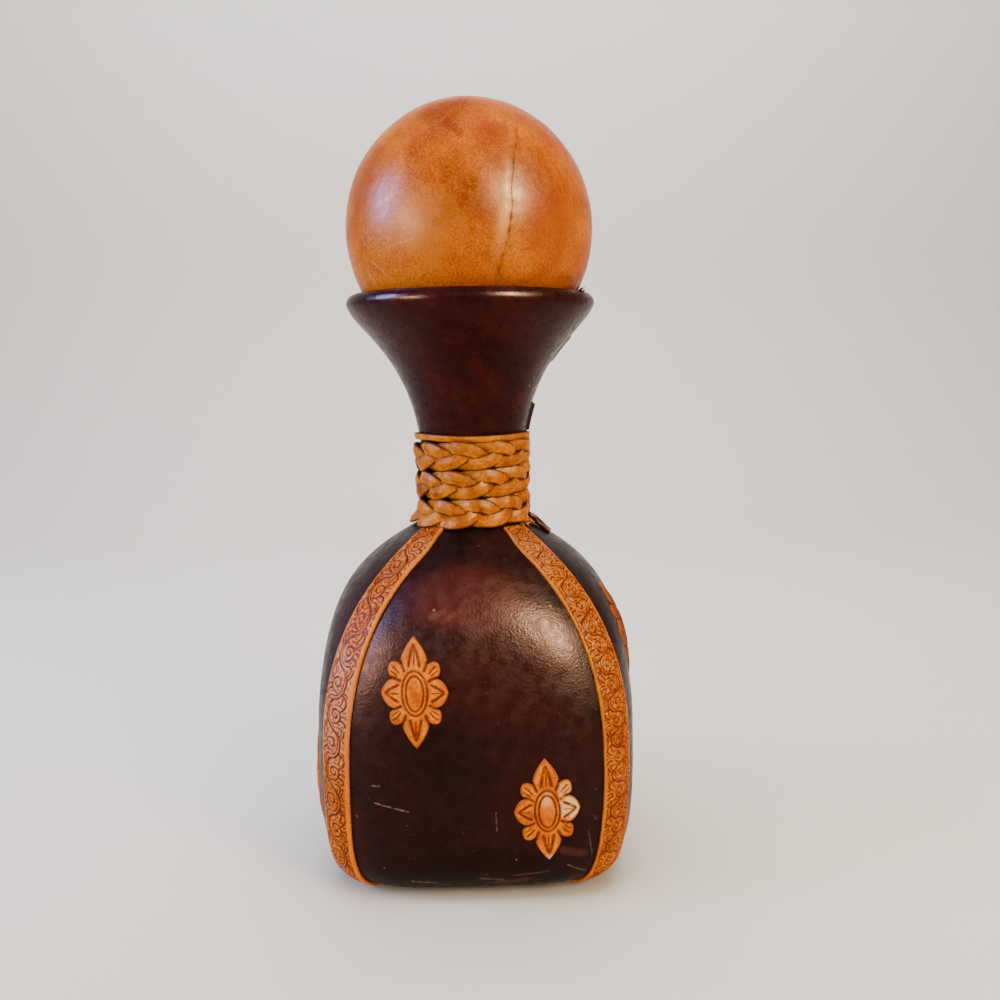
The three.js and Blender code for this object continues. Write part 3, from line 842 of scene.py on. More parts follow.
# The dark edge tone of the laces is partly edge dye and partly painted shadow where the laces pass under each
# other.
LACE_TAN = Leather(
    "plaited_lace_leather", "braid_leather", dark=(128, 58, 3), base=(188, 100, 4), light=(216, 134, 18),
    cloud=7.0, grain=0.5, grain_depth=0.05, roughness=0.42, specular=0.05, edge=(38, 12, 3))
BALL_TAN = Leather(
    "waxed_ball_leather", "ball_leather", dark=(124, 50, 1), base=(178, 86, 1), light=(200, 112, 8),
    cloud=24.0, grain=0.55, grain_depth=0.04, roughness=0.36, roughness_spread=0.08, specular=0.055,
    shine=(255, 226, 186), mottle=0.62, groove=(90, 34, 4), edge=(226, 156, 86), patches=(
        Patch((9.0, -35, 272), (8, 14, 6), (146, 50, 1), 0.6, 2.4, 2.4),
        Patch((-7.0, -33, 275), (2.6, 12, 2.0), INK_SPOT, 0.6, 2.0, 1.3),
        Patch((-4.8, -33.5, 273), (2.4, 12, 2.4), INK_SPOT, 0.6, 2.0, 1.3),
        Patch((-3.0, -34, 270.6), (2.4, 12, 2.6), INK_SPOT, 0.6, 2.0, 1.3),
        Patch((28, -36, 240), (16, 20, 18), (156, 60, 1), 0.5, 1.0, 8.0),
        Patch((30, -10, 276), (24, 30, 16), (142, 50, 1), 0.5, 1.0, 7.0),
        Patch((-14, -42, 238), (18, 20, 16), (196, 116, 22), 0.4, 1.0, 7.0),
    ), scratches=(
        Scratch((-28.0, 233.2), (-19.7, 234.9), 0.4, 0.35, SCORED, 0.8),
        Scratch((-35.0, 228.9), (-30.4, 225.0), 0.4, 0.35, SCORED, 0.8),
        Scratch((-37.0, 226.0), (-34.0, 221.5), 0.4, 0.3, SCORED, 0.8),
    ))
PAD_LEATHER = Leather(
    "base_pad_leather", "base_pad", dark=(18, 12, 10), base=(34, 23, 19), light=(52, 36, 30), cloud=8.0,
    grain=1.1, grain_depth=0.12, roughness=0.85, roughness_spread=0.08)


# The form that all leather follows


@dataclass(frozen=True)
class BottleForm:
    """The outside of the glass: heights are above its own underside, widths from the axis to a face."""

    bottom: float = 4.0
    wall: float = 3.6
    foot_half_width: float = 42.1
    foot_reach: float = 11.9
    foot_rise: float = 40.0
    body_half_width: float = 58.7
    widest_height: float = 42.5
    shoulder_lower_handle: float = 55.6
    shoulder_upper_handle: float = 17.2
    shoulder_slope: float = 1.69
    shoulder_top_radius: float = 21.3
    shoulder_top_height: float = 125.0
    waist_radius: float = 16.8
    waist_fillet: float = 4.0
    neck_straight: float = 4.3
    flare_height: float = 74.5
    flare_handle: float = 54.6
    rim_radius: float = 45.5
    rim_slope: float = 0.5
    rim_handle: float = 12.0
    squareness: float = 4.0
    square_up_to: float = 56.0
    round_from: float = 126.0
    skin: float = 1.9
    neck_search: float = 20.0
    station_step: float = 0.25
    angle_step: float = 0.004

    @cached_property
    def curves(self) -> list[Array]:
        """The half section's curves.

        Returns:
            Points of each, from the middle of the underside over the lip to the inside floor.
        """
        top, waist, slope = self.shoulder_top_radius, self.waist_radius, self.shoulder_slope
        corner = self.shoulder_top_height + (top - waist) / slope
        neck_foot = corner + self.waist_fillet
        flare = neck_foot + self.neck_straight
        rim = flare + self.flare_height
        upper = self.shoulder_upper_handle
        widest = (self.body_half_width, self.widest_height)
        outside = [
            bezier([(0.0, 0.0), (self.foot_half_width, 0.0)]),
            bezier([(self.foot_half_width, 0.0), (self.foot_half_width + self.foot_reach, 0.0),
                    (self.body_half_width, self.widest_height - self.foot_rise), widest]),
            bezier([widest, (self.body_half_width, self.widest_height + self.shoulder_lower_handle),
                    (top + slope * upper, self.shoulder_top_height - upper),
                    (top, self.shoulder_top_height)]),
            bezier([(top, self.shoulder_top_height), (waist, corner), (waist, neck_foot)]),
            bezier([(waist, neck_foot), (waist, flare)]),
            bezier([(waist, flare), (waist, flare + self.flare_handle),
                    (self.rim_radius - self.rim_slope * self.rim_handle, rim - self.rim_handle),
                    (self.rim_radius, rim)]),
        ]
        return [*outside, self.lip(outside[-1]), *[self.inside(curve) for curve in outside[::-1]]]

    def lip(self, flare: Array) -> Array:
        """The round lip at the end of the flare.

        Args:
            flare: The flare's curve.

        Returns:
            Half a circle from the outside to the inside.
        """
        out = self.outward(flare)[-1]
        radius = self.wall / 2.0
        turn = math.atan2(out[1], out[0]) + np.linspace(0.0, math.pi, 400)
        return flare[-1] - out * radius + radius * spokes(turn)

    @staticmethod
    def outward(curve: Array) -> Array:
        """The direction away from the glass along a curve of the outside."""
        along = unit(np.gradient(curve, axis=0))
        return np.stack([along[:, 1], -along[:, 0]], axis=1)

    def inside(self, curve: Array) -> Array:
        """The inside of the wall behind one curve of the outside."""
        return (curve - self.outward(curve) * self.wall)[::-1]

    @cached_property
    def section(self) -> tuple[Array, Array]:
        """Length along the whole section, and its points."""
        points = np.concatenate(self.curves)
        return lengths_along(points), points

    @cached_property
    def ends(self) -> list[float]:
        """Length along the section at the end of each curve."""
        last = np.cumsum([len(curve) for curve in self.curves]) - 1
        return [float(self.section[0][k]) for k in last]

    def at(self, station: Array) -> tuple[Array, Array]:
        """Half width and height at lengths along the section."""
        lengths, points = self.section
        return np.interp(station, lengths, points[:, 0]), np.interp(station, lengths, points[:, 1])

    def station_of(self, height: float) -> float:
        """Length along the outside at which it passes a height between foot and rim.

        Args:
            height: Height above the underside of the glass.

        Returns:
            The length along the section.
        """
        lengths, points = self.section
        outside = (lengths > self.ends[Curve.UNDERSIDE]) & (lengths < self.ends[Curve.FLARE])
        return float(np.interp(height, points[outside, 1], lengths[outside]))

    def exponent(self, height: Array) -> Array:
        """How square the plan is at a height."""
        return self.squareness + (2.0 - self.squareness) * smooth(height, self.square_up_to, self.round_from)

    def corner_reach(self, station: Array) -> Array:
        """Distance from the axis to the glass at its corners."""
        half, height = self.at(station)
        return half * 2.0 ** (0.5 - 1.0 / self.exponent(height))

    def glass(self, station: Array, angle: Array) -> Array:
        """Places on the glass.

        Args:
            station: Lengths along the section.
            angle: Angles about the axis, from +X.

        Returns:
            Places in millimetres, shape (..., 3).
        """
        half, height = self.at(station)
        power = self.exponent(height)
        reach = half * (np.abs(np.cos(angle)) ** power + np.abs(np.sin(angle)) ** power) ** (-1.0 / power)
        return around_axis(reach, angle, self.bottom + height)

    def lifted(self, station: Array, angle: Array, lift: Array) -> Array:
        """Places at a distance from the glass, square to its surface.

        Args:
            station: Lengths along the section.
            angle: Angles about the axis.
            lift: Distances from the glass.

        Returns:
            Places in millimetres, shape (..., 3).
        """
        station, angle, lift = np.broadcast_arrays(station, angle, lift)
        along, around = self.station_step, self.angle_step
        climb = self.glass(station + along, angle) - self.glass(station - along, angle)
        sweep = self.glass(station, angle + around) - self.glass(station, angle - around)
        return self.glass(station, angle) + unit(np.cross(sweep, climb)) * lift[..., None]

    def neck_reach(self, height: Array) -> Array:
        """Radius of the leather's face on the neck at heights above the glass base.

        Args:
            height: Heights between the shoulder and the rim.

        Returns:
            The radii.
        """
        start = self.ends[Curve.FOOT] + self.neck_search
        station = np.linspace(start, self.ends[Curve.FLARE], 900)
        face = self.lifted(station, 0.0, self.skin)
        return np.interp(height, face[:, 2] - self.bottom, face[:, 0])


FORM = BottleForm()


# Pieces that geometry trees finish


def twin(name: str, source: Piece) -> Piece:
    """Copy a piece, with a mesh of its own."""
    return in_scene(name, source.data.copy())


def turned(piece: Piece, face: Face, material: Material) -> Piece:
    """Turn the mesh of a piece that is built for the front to another face, and dress it."""
    tree = bpy.data.node_groups.get("turn_to_face") or turn_to_face_tree()
    return settle(piece, tree, {"Quarter Turns": face.value, "Finish": material})


def turn_to_face_tree() -> Tree:
    """The tree that turns a front piece to another face.

    Returns:
        A tree with inputs for the number of quarter turns and the finish.
    """
    tree = new_tree("turn_to_face", {"Quarter Turns": "NodeSocketInt", "Finish": "NodeSocketMaterial"})
    build = TreeBuilder(tree)
    given = build.add("NodeGroupInput").outputs
    turn = build.math("MULTIPLY", given["Quarter Turns"], QUARTER)
    spin = build.add("ShaderNodeCombineXYZ", {"Z": turn}).outputs[0]
    moved = build.add("GeometryNodeTransform", {"Geometry": given["Geometry"], "Rotation": spin})
    end_tree(build, moved.outputs["Geometry"], given["Finish"])
    return tree


def new_tree(name: str, sizes: dict[str, str]) -> Tree:
    """Start a geometry tree with named inputs.

    Args:
        name: The tree's name.
        sizes: Socket types of its inputs, by name, after the geometry.

    Returns:
        The tree, still without nodes.
    """
    tree = bpy.data.node_groups.new(name, "GeometryNodeTree")
    tree.interface.new_socket("Geometry", in_out="OUTPUT", socket_type="NodeSocketGeometry")
    for label, kind in {"Geometry": "NodeSocketGeometry", **sizes}.items():
        tree.interface.new_socket(label, in_out="INPUT", socket_type=kind)
    return tree


def end_tree(build: TreeBuilder, shape: Socket, finish: Socket) -> None:
    """Close a geometry tree: real geometry, with its finish on it.

    Args:
        build: The tree's builder.
        shape: The geometry so far.
        finish: The material.
    """
    real = build.add("GeometryNodeRealizeInstances", {"Geometry": shape}).outputs["Geometry"]
    dressed = build.add("GeometryNodeSetMaterial", {"Geometry": real, "Material": finish})
    build.add("NodeGroupOutput", {"Geometry": dressed.outputs["Geometry"]})


def keep_result(piece: Piece, modifier: bpy.types.Modifier) -> Piece:
    """Turn what a modifier makes of a piece into the piece's own mesh.

    Args:
        piece: The piece that carries the modifier.
        modifier: The modifier, which is taken off.

    Returns:
        The same piece.
    """
    bpy.context.view_layer.update()
    ready = piece.evaluated_get(bpy.context.evaluated_depsgraph_get())
    mesh = bpy.data.meshes.new_from_object(ready)
    piece.modifiers.remove(modifier)
    piece.data = mesh
    mesh.name = piece.name
    return piece


def settle(piece: Piece, tree: Tree, values: dict[str, object]) -> Piece:
    """Run a tree on a piece and keep the result as a plain mesh.

    Args:
        piece: The piece that carries the tree.
        tree: The geometry tree.
        values: Values for its named inputs.

    Returns:
        The same piece, with its final mesh and no modifier.
    """
    modifier = piece.modifiers.new(tree.name, "NODES")
    modifier.node_group = tree
    for socket in tree.interface.items_tree:
        if socket.in_out == "INPUT" and socket.name in values:
            modifier[socket.identifier] = values[socket.name]
    return keep_result(piece, modifier)


def laced(name: str, paths: Sequence[Path], sizes: dict[str, float], finish: Leather) -> Piece:
    """Sweep a flat lace along each path.

    Args:
        name: The piece's name.
        paths: Each lace's places in millimetres, its facing directions and the squeeze of its width.
        sizes: The lace's sizes in millimetres, by the tree's inputs.
        finish: The laces' leather.

    Returns:
        The dressed piece.
    """
    places, directions, widths = (np.concatenate(values) for values in zip(*paths))
    ends = np.cumsum([len(path[0]) for path in paths])
    edges = [(k, k + 1) for k in range(len(places) - 1) if k + 1 not in ends]
    mesh = bpy.data.meshes.new(name)
    mesh.from_pydata((places * MM).tolist(), edges, [])
    facing = mesh.attributes.new("facing", "FLOAT_VECTOR", "POINT")
    facing.data.foreach_set("vector", directions.astype(np.float32).ravel())
    squeeze = mesh.attributes.new("squeeze", "FLOAT", "POINT")
    squeeze.data.foreach_set("value", widths.astype(np.float32))
    tree = bpy.data.node_groups.get("flat_lace_on_path") or flat_lace_tree()
    values = {label: size * MM for label, size in sizes.items()}
    return settle(in_scene(name, mesh), tree, {**values, "Finish": finish.material()})


def flat_lace_tree() -> Tree:
    """The tree that sweeps a flat lace along each path.

    Returns:
        A tree with inputs for the lace's sizes and finish.
    """
    sizes = ("Lace Width", "Lace Thickness", "Edge Rounding", "Crown")
    sockets = {size: "NodeSocketFloat" for size in sizes}
    tree = new_tree("flat_lace_on_path", {**sockets, "Finish": "NodeSocketMaterial"})
    build = TreeBuilder(tree)
    given = build.add("NodeGroupInput").outputs
    path = build.add("GeometryNodeMeshToCurve", {"Mesh": given["Geometry"]}).outputs["Curve"]
    facing = build.add("GeometryNodeInputNamedAttribute", {"Name": "facing"}, data_type="FLOAT_VECTOR")
    faced = build.add("GeometryNodeSetCurveNormal", {
        "Curve": path, "Normal": facing.outputs["Attribute"]}, mode="FREE")
    bar = build.add("GeometryNodeCurvePrimitiveQuadrilateral", {
        "Width": given["Lace Thickness"], "Height": given["Lace Width"]}).outputs["Curve"]
    rounded = build.add("GeometryNodeFilletCurve", {
        "Curve": bar, "Count": 4, "Radius": given["Edge Rounding"], "Limit Radius": True}, mode="POLY")
    fine = build.add("GeometryNodeResampleCurve", {"Curve": rounded.outputs["Curve"], "Count": 44})
    spot = build.add("GeometryNodeInputPosition").outputs["Position"]
    axes = build.add("ShaderNodeSeparateXYZ", {"Vector": spot}).outputs
    off_middle = build.math("ABSOLUTE", build.math("DIVIDE", axes["Y"], given["Lace Width"]))
    # The rim mark darkens the plait's lace edges, partly as edge dye and partly as painted shadow where laces
    # pass under each other.
    edge_tone_and_shadow = {"Value": off_middle, "From Min": 0.32, "From Max": 0.47}
    rim = build.add("ShaderNodeMapRange", edge_tone_and_shadow).outputs["Result"]
    marked = build.add("GeometryNodeStoreNamedAttribute", {
        "Geometry": fine.outputs["Curve"], "Name": "rim", "Value": rim}, data_type="FLOAT", domain="POINT")
    bow = build.ease(off_middle, 0.5, 0.0, 0.0, given["Crown"])
    raised = build.math("MULTIPLY", bow, build.math("GREATER_THAN", axes["X"]))
    crowned = build.add("GeometryNodeSetPosition", {
        "Geometry": marked.outputs["Geometry"],
        "Offset": build.add("ShaderNodeCombineXYZ", {"X": raised}).outputs[0]})
    squeeze = build.add("GeometryNodeInputNamedAttribute", {"Name": "squeeze"}, data_type="FLOAT")
    swept = build.add("GeometryNodeCurveToMesh", {
        "Curve": faced.outputs["Curve"], "Profile Curve": crowned.outputs["Geometry"],
        "Scale": squeeze.outputs["Attribute"], "Fill Caps": True}).outputs["Mesh"]
    soft = build.add("GeometryNodeSetShadeSmooth", {"Geometry": swept}).outputs["Geometry"]
    end_tree(build, soft, given["Finish"])
    return tree


# Tooling


@dataclass(frozen=True)
class Stroke:
    """One line that a tool presses into flat leather.

    Its floor and its shoulder are where it is deepest and where it ends, in half widths from its middle.
    """

    points: Array
    half_width: float
    floor: float = 0.45
    shoulder: float = 1.35

    def moved(self, up: float) -> "Stroke":
        """The same line further along the leather."""
        return Stroke(self.points + np.array([0.0, up]), self.half_width)

    def mirrored(self, across: float, up: float) -> "Stroke":
        """The same line with its directions multiplied."""
        return Stroke(self.points * np.array([across, up]), self.half_width)

    def depth(self, at: Array) -> Array:
        """How deep the line is at flat places, from 0 to 1."""
        distance = gap_to(self.points, at) / self.half_width
        return 1.0 - smooth(distance, self.floor, self.shoulder)


def tooled(at: Array, strokes: Sequence[Stroke]) -> Array:
    """The deepest of all lines at flat places.

    Args:
        at: Places of shape (n, 2).
        strokes: The lines.

    Returns:
        Depths from 0 to 1.
    """
    depth = np.zeros(len(at))
    for stroke in strokes:
        margin = stroke.shoulder * stroke.half_width
        low, high = stroke.points.min(0) - margin, stroke.points.max(0) + margin
        near = np.flatnonzero(np.all((at > low) & (at < high), axis=1))
        depth[near] = np.maximum(depth[near], stroke.depth(at[near]))
    return depth


def arc(corners: Sequence[tuple[float, float]], half_width: float, count: int = 14) -> Stroke:
    """A curved line through control points."""
    return Stroke(bezier(corners, count), half_width)


def volute(centre: tuple[float, float], radii: tuple[float, float], angle: float, turns: float,
           half_width: float) -> Stroke:
    """A line that curls in on itself.

    Args:
        centre: The eye of the curl.
        radii: Where it begins and where it ends, from the eye.
        angle: Direction from the eye in which it begins, in turns.
        turns: How far it curls, counterclockwise where positive.
        half_width: Half the line's width.

    Returns:
        The line.
    """
    share = np.linspace(0.0, 1.0, 40)
    radius = radii[0] * (radii[1] / radii[0]) ** share
    turn = FULL_TURN * (angle + turns * share)
    return Stroke(np.array(centre) + radius[:, None] * spokes(turn), half_width)


# Sub-assemblies


def dress(piece: Piece, finish: Finish, body: Body, *nodes: str) -> None:
    """Give a piece a finish of its own, its body and the solids it stands for."""
    piece.data.materials.append(finish.material())
    fit(piece, body, finish.slot, *nodes)


@dataclass(frozen=True)
class GlassBottle:
    """The bottle itself, seen only in the open mouth."""

    finish: BottleGlass = BottleGlass()
    around: int = 128
    rows_per_curve: tuple[int, ...] = (2, 14, 16, 4, 2, 16, 8, 16, 2, 4, 16, 14, 3)

    def build(self) -> None:
        """Make the hollow bottle and dress it."""
        starts = [0.0, *FORM.ends[:-1]]
        stations = np.concatenate([
            np.linspace(low, high, rows + 1)[1:]
            for low, high, rows in zip(starts, FORM.ends, self.rows_per_curve)])[:-1]
        rings = FORM.glass(stations[:, None], full_turn(self.around)[None, :])
        under = on_axis(FORM.bottom)
        piece = ring_skin("bottle_glass_wall", under, rings, under + on_axis(FORM.wall))
        dress(piece, self.finish, Body.BOTTLE, "glass_bottle")


@dataclass(frozen=True)
class BasePad:
    """The plain leather pad under the base."""

    finish: Leather = PAD_LEATHER
    half_width: float = 37.1
    thickness: float = 1.8
    rounding: float = 0.45
    inner_rings: tuple[float, ...] = (0.25, 0.5, 0.75, 0.92)
    around: int = 160

    def build(self) -> None:
        """Make the pad and dress it."""
        turns = full_turn(self.around)
        power = FORM.squareness
        plan = (np.abs(np.cos(turns)) ** power + np.abs(np.sin(turns)) ** power) ** (-1.0 / power)
        r = self.rounding
        bend = np.linspace(0.0, QUARTER, 5)
        low = [(self.half_width - r + r * math.sin(b), r - r * math.cos(b)) for b in bend]
        under = [*[(self.half_width * share, 0.0) for share in self.inner_rings], *low]
        over = [(radius, self.thickness - height) for radius, height in reversed(under)]
        radius, height = np.array([*under, *over]).T[:, :, None]
        rings = around_axis(radius * plan, turns, height)
        piece = ring_skin("base_pad_sole", on_axis(0.0), rings, on_axis(self.thickness))
        dress(piece, self.finish, Body.BOTTLE, "base_pad")


@dataclass(frozen=True)
class Panels:
    """The four dark panels, edge to edge at the corners."""

    finish: Leather = OXBLOOD
    front_finish: Leather = OXBLOOD_FRONT
    glue: float = 0.3
    hem: float = 10.0
    above_fillet: float = 2.0
    butt_gap: float = 0.5
    unevenness: float = 0.13
    long_wave: float = 38.0
    short_wave: float = 13.0
    short_share: float = 0.4
    rows: int = 200
    columns: int = 160
    coarse: int = 8

    @property
    def top(self) -> float:
        """Where the panels end under the plait."""
        return FORM.ends[Curve.FILLET] + self.above_fillet

    def build(self) -> None:
        """Make the panels and dress them."""
        station = np.linspace(FORM.ends[Curve.UNDERSIDE] - self.hem, self.top, self.rows + 1)[:, None]
        edge = QUARTER / 2.0 - self.butt_gap / 2.0 / FORM.corner_reach(station)
        share = np.linspace(-1.0, 1.0, self.columns + 1)[None, :]
        angle = -QUARTER + edge * share
        flat = FORM.lifted(station, angle, FORM.skin)
        wave = self.unevenness * sway(flat, self.long_wave, 5)
        wave += self.short_share * self.unevenness * sway(flat, self.short_wave, 6)
        face = FORM.lifted(station, angle, FORM.skin + wave)
        flesh = FORM.lifted(station, angle, self.glue)[::self.coarse, ::self.coarse]
        front = leather_sheet("front_panel_leather", face, flesh, {})
        material = self.finish.material()
        for side in (Face.RIGHT, Face.BACK, Face.LEFT):
            piece = turned(twin(f"{side.label}_panel_leather", front), side, material)
            fit(piece, Body.BOTTLE, self.finish.slot, f"{side.label}_panel")
        dress(front, self.front_finish, Body.BOTTLE, "front_panel")


@dataclass(frozen=True)
class RunningScroll:
    """The running scroll that a strip is tooled with."""

    reach: float
    repeat: float = 21.0
    line: float = 1.0
    commas: int = 900
    comma_gap: float = 0.7
    comma_half_width: float = 0.26
    comma_lengths: tuple[float, float] = (0.5, 1.5)
    comma_bend: float = 1.6
    comma_points: int = 6
    seed: int = 17

    def strokes(self, low: float, high: float) -> list[Stroke]:
        """The scroll from one end of a strip to the other.

        Args:
            low: Where the strip begins.
            high: Where it ends.

        Returns:
            The lines, across and along the strip.
        """
        bay = self.bay()
        lines = [*bay, *[s.mirrored(-1.0, 1.0).moved(self.repeat / 2.0) for s in bay]]
        lines += self.filling(lines)
        count = math.ceil((high - low) / self.repeat) + 1
        return [stroke.moved(low + k * self.repeat) for k in range(-1, count) for stroke in lines]

    def bay(self) -> list[Stroke]:
        """Half a repeat of the scroll: stem, curl and leaves in one bend.

        Each curve has its line's share of width, and its corners in shares of the reach and of half a repeat.

        Returns:
            The lines of one bend that bulges to the right.
        """
        h, r = self.repeat / 2.0, self.reach
        curves = [
            (0.5, (0.0, 0.0), (0.62, 0.1), (0.98, 0.5), (0.62, 0.9), (0.0, 1.0)),
            (0.3, (-0.16, 0.1), (0.42, 0.14), (0.68, 0.5), (0.42, 0.86), (0.16, 0.95)),
            (0.4, (0.56, 0.2), (0.9, 0.08), (0.96, -0.05)),
            (0.3, (0.62, 0.26), (0.97, 0.2), (0.99, 0.1)),
            (0.4, (0.68, 0.68), (0.97, 0.78), (0.92, 0.97)),
            (0.3, (0.62, 0.8), (0.8, 0.92), (0.72, 1.05)),
            (0.45, (-0.58, 0.34), (-0.94, 0.3), (-0.97, 0.14)),
            (0.36, (-0.68, 0.48), (-0.95, 0.5), (-1.0, 0.4)),
            (0.45, (-0.62, 0.66), (-0.94, 0.74), (-0.97, 0.9)),
            (0.34, (-0.46, 0.82), (-0.7, 0.95), (-0.66, 1.08)),
            (0.34, (-0.28, 0.1), (-0.52, 0.14), (-0.68, 0.02)),
        ]
        lines = [
            arc([(r * x, h * y) for x, y in corners], self.line * width, 18)
            for width, *corners in curves]
        eye, size = (-0.11 * r, h * 0.52), min(r, 0.55 * h)
        return [*lines, volute(eye, (0.6 * size, 0.17 * size), -0.22, -1.3, 0.42 * self.line)]

    def filling(self, lines: list[Stroke]) -> list[Stroke]:
        """Small commas on the ground between the main lines of one repeat.

        Args:
            lines: The main lines.

        Returns:
            The commas.
        """
        draw = np.random.default_rng(self.seed)
        repeats = [np.array([0.0, k * self.repeat]) for k in (-1, 0, 1)]
        taken = np.concatenate([line.points + shift for line in lines for shift in repeats])
        (shortest, longest), most = self.comma_lengths, self.comma_bend
        commas = []
        for _ in range(self.commas):
            spot = np.array([draw.uniform(-self.reach, self.reach), draw.uniform(0.0, self.repeat)])
            heading, length, bend = draw.uniform((0.0, shortest, -most), (FULL_TURN, longest, most))
            turn = heading + bend * np.linspace(0.0, 1.0, self.comma_points)
            step = spokes(turn) * length / (self.comma_points - 1)
            points = spot + np.cumsum(step, axis=0) - step[0]
            gap = np.linalg.norm(points[:, None] - taken[None], axis=-1).min()
            if gap > self.comma_gap and np.abs(points[:, 0]).max() < self.reach:
                commas.append(Stroke(points, self.comma_half_width))
                taken = np.concatenate([taken, *[points + shift for shift in repeats]])
        return commas


@dataclass(frozen=True)
class CornerStrips:
    """The four tan strips over the corner joints, tooled with a running scroll.

    They lean towards the front and back faces on the shoulders, and their feet drift a little
    round the bottle.
    """

    finish: Leather = STRIP_TAN
    width: float = 12.8
    neck_width: float = 12.0
    body_shift: float = 0.1
    shoulder_shift: float = 2.5
    shift_reach: float = 0.75
    foot_drift: float = 1.4
    pinch: float = 2.4
    pinch_reach: float = 14.0
    leather: float = 1.2
    seat: float = 1.88
    flesh_lift: float = 2.2
    tuck: float = 4.0
    under_plait: float = 1.2
    stop_radius: float = 24.2
    inner_margin: float = 1.5
    outer_margin: float = 0.8
    groove: float = 0.26
    rounding: float = 0.25
    crown: float = 0.12
    border_tone: float = 0.8
    border_blend: float = 0.6
    rows: int = 608
    columns: int = 64
    coarse: int = 8

    @property
    def top(self) -> float:
        """Where a strip passes under the plait.

        Returns:
            The length along the section.
        """
        station = np.linspace(FORM.ends[Curve.FOOT], FORM.ends[Curve.FILLET], 2000)
        places = FORM.lifted(station, QUARTER / 2.0, self.flesh_lift)
        outside = np.hypot(places[:, 0], places[:, 1]) > self.stop_radius
        return float(station[outside][-1]) + self.under_plait

    def build(self) -> None:
        """Make the strips and dress them."""
        material = self.finish.material()
        for corner, opposite in ((Face.FRONT, Face.BACK), (Face.LEFT, Face.RIGHT)):
            first = self.strip(corner)
            for face, turns in ((opposite, Face.BACK), (corner, Face.FRONT)):
                node = f"corner_strip_{face.label}_{face.next_label}"
                piece = turned(twin(f"{node}_leather", first), turns, material)
                fit(piece, Body.BOTTLE, self.finish.slot, node)
            bpy.data.objects.remove(first)

    def strip(self, corner: Face) -> Piece:
        """Make the strip on the corner after the front or the left face.

        Args:
            corner: The face before the corner.

        Returns:
            The strip, still without a finish.
        """
        inward = -1.0 if corner is Face.FRONT else 1.0
        foot, widest, top = FORM.ends[Curve.UNDERSIDE], FORM.ends[Curve.FOOT], self.top
        station = np.linspace(foot - self.tuck, top, self.rows + 1)[:, None]
        pinch = self.pinch * smooth(station, top - self.pinch_reach, top)
        width = self.width + (self.neck_width - self.width) * smooth(station, widest, top) - pinch
        lean = smooth(station, widest, widest + self.shift_reach * (top - widest))
        shift = self.body_shift + (self.shoulder_shift - self.body_shift) * lean - pinch / 2.0
        drift = self.foot_drift * (1.0 - smooth(station, foot, widest))
        across = np.linspace(-0.5, 0.5, self.columns + 1)[None, :] * width
        aside = (across + inward * shift - drift) / FORM.corner_reach(station)
        angle = (corner.value - 0.5) * QUARTER + aside
        rim = np.minimum(width / 2.0 - np.abs(across), station - station[0])
        depth, bare = self.tooling(corner, station, inward * across * self.width / width)
        crown = self.crown * (1.0 - (2.0 * across / width) ** 2)
        lift = self.seat + self.leather + crown - self.groove * depth - round_over(rim, self.rounding)
        face = FORM.lifted(station, angle, lift)
        flesh = FORM.lifted(station, angle, self.seat)[::self.coarse, ::self.coarse]
        return leather_sheet("strip", face, flesh, {"tooling": depth, "rim": bare})

    def tooling(self, corner: Face, station: Array, across: Array) -> tuple[Array, Array]:
        """The scroll on one strip.

        Args:
            corner: The face before the strip's corner.
            station: Lengths along the strip, one for each row.
            across: Places across it, as if it were as wide as at its foot.

        Returns:
            Depths of the tooling, and how much of the plain border's tone shows.
        """
        border = self.inner_margin if corner is Face.LEFT else self.outer_margin
        reach = (self.width - border - self.outer_margin) / 2.0
        spread = across + (border - self.outer_margin) / 2.0
        flat = np.stack(np.broadcast_arrays(spread, station), axis=-1).reshape(-1, 2)
        scroll = RunningScroll(reach)
        if corner is Face.FRONT:
            scroll = RunningScroll(reach, repeat=13.0, line=0.72, commas=1500)
        lines = scroll.strokes(float(station[0, 0]), float(station[-1, 0]))
        depth = tooled(self.wandering(flat), lines)
        bare = self.border_tone * smooth(np.abs(flat[:, 0]), reach, reach + self.border_blend)
        return depth.reshape(across.shape), bare.reshape(across.shape)

    @staticmethod
    def wandering(flat: Array) -> Array:
        """Let the tooling wander a little, as work by hand does.

        Args:
            flat: Places across and along the strip.

        Returns:
            The places that the pattern is read at.
        """
        across, along = flat.T
        aside = 0.25 * np.sin(along / 6.1) + 0.15 * np.sin(along / 2.7)
        ahead = 0.3 * np.sin(along / 9.0) + 0.2 * np.sin(across * 0.9)
        return np.stack([across + aside, along + ahead], axis=1)


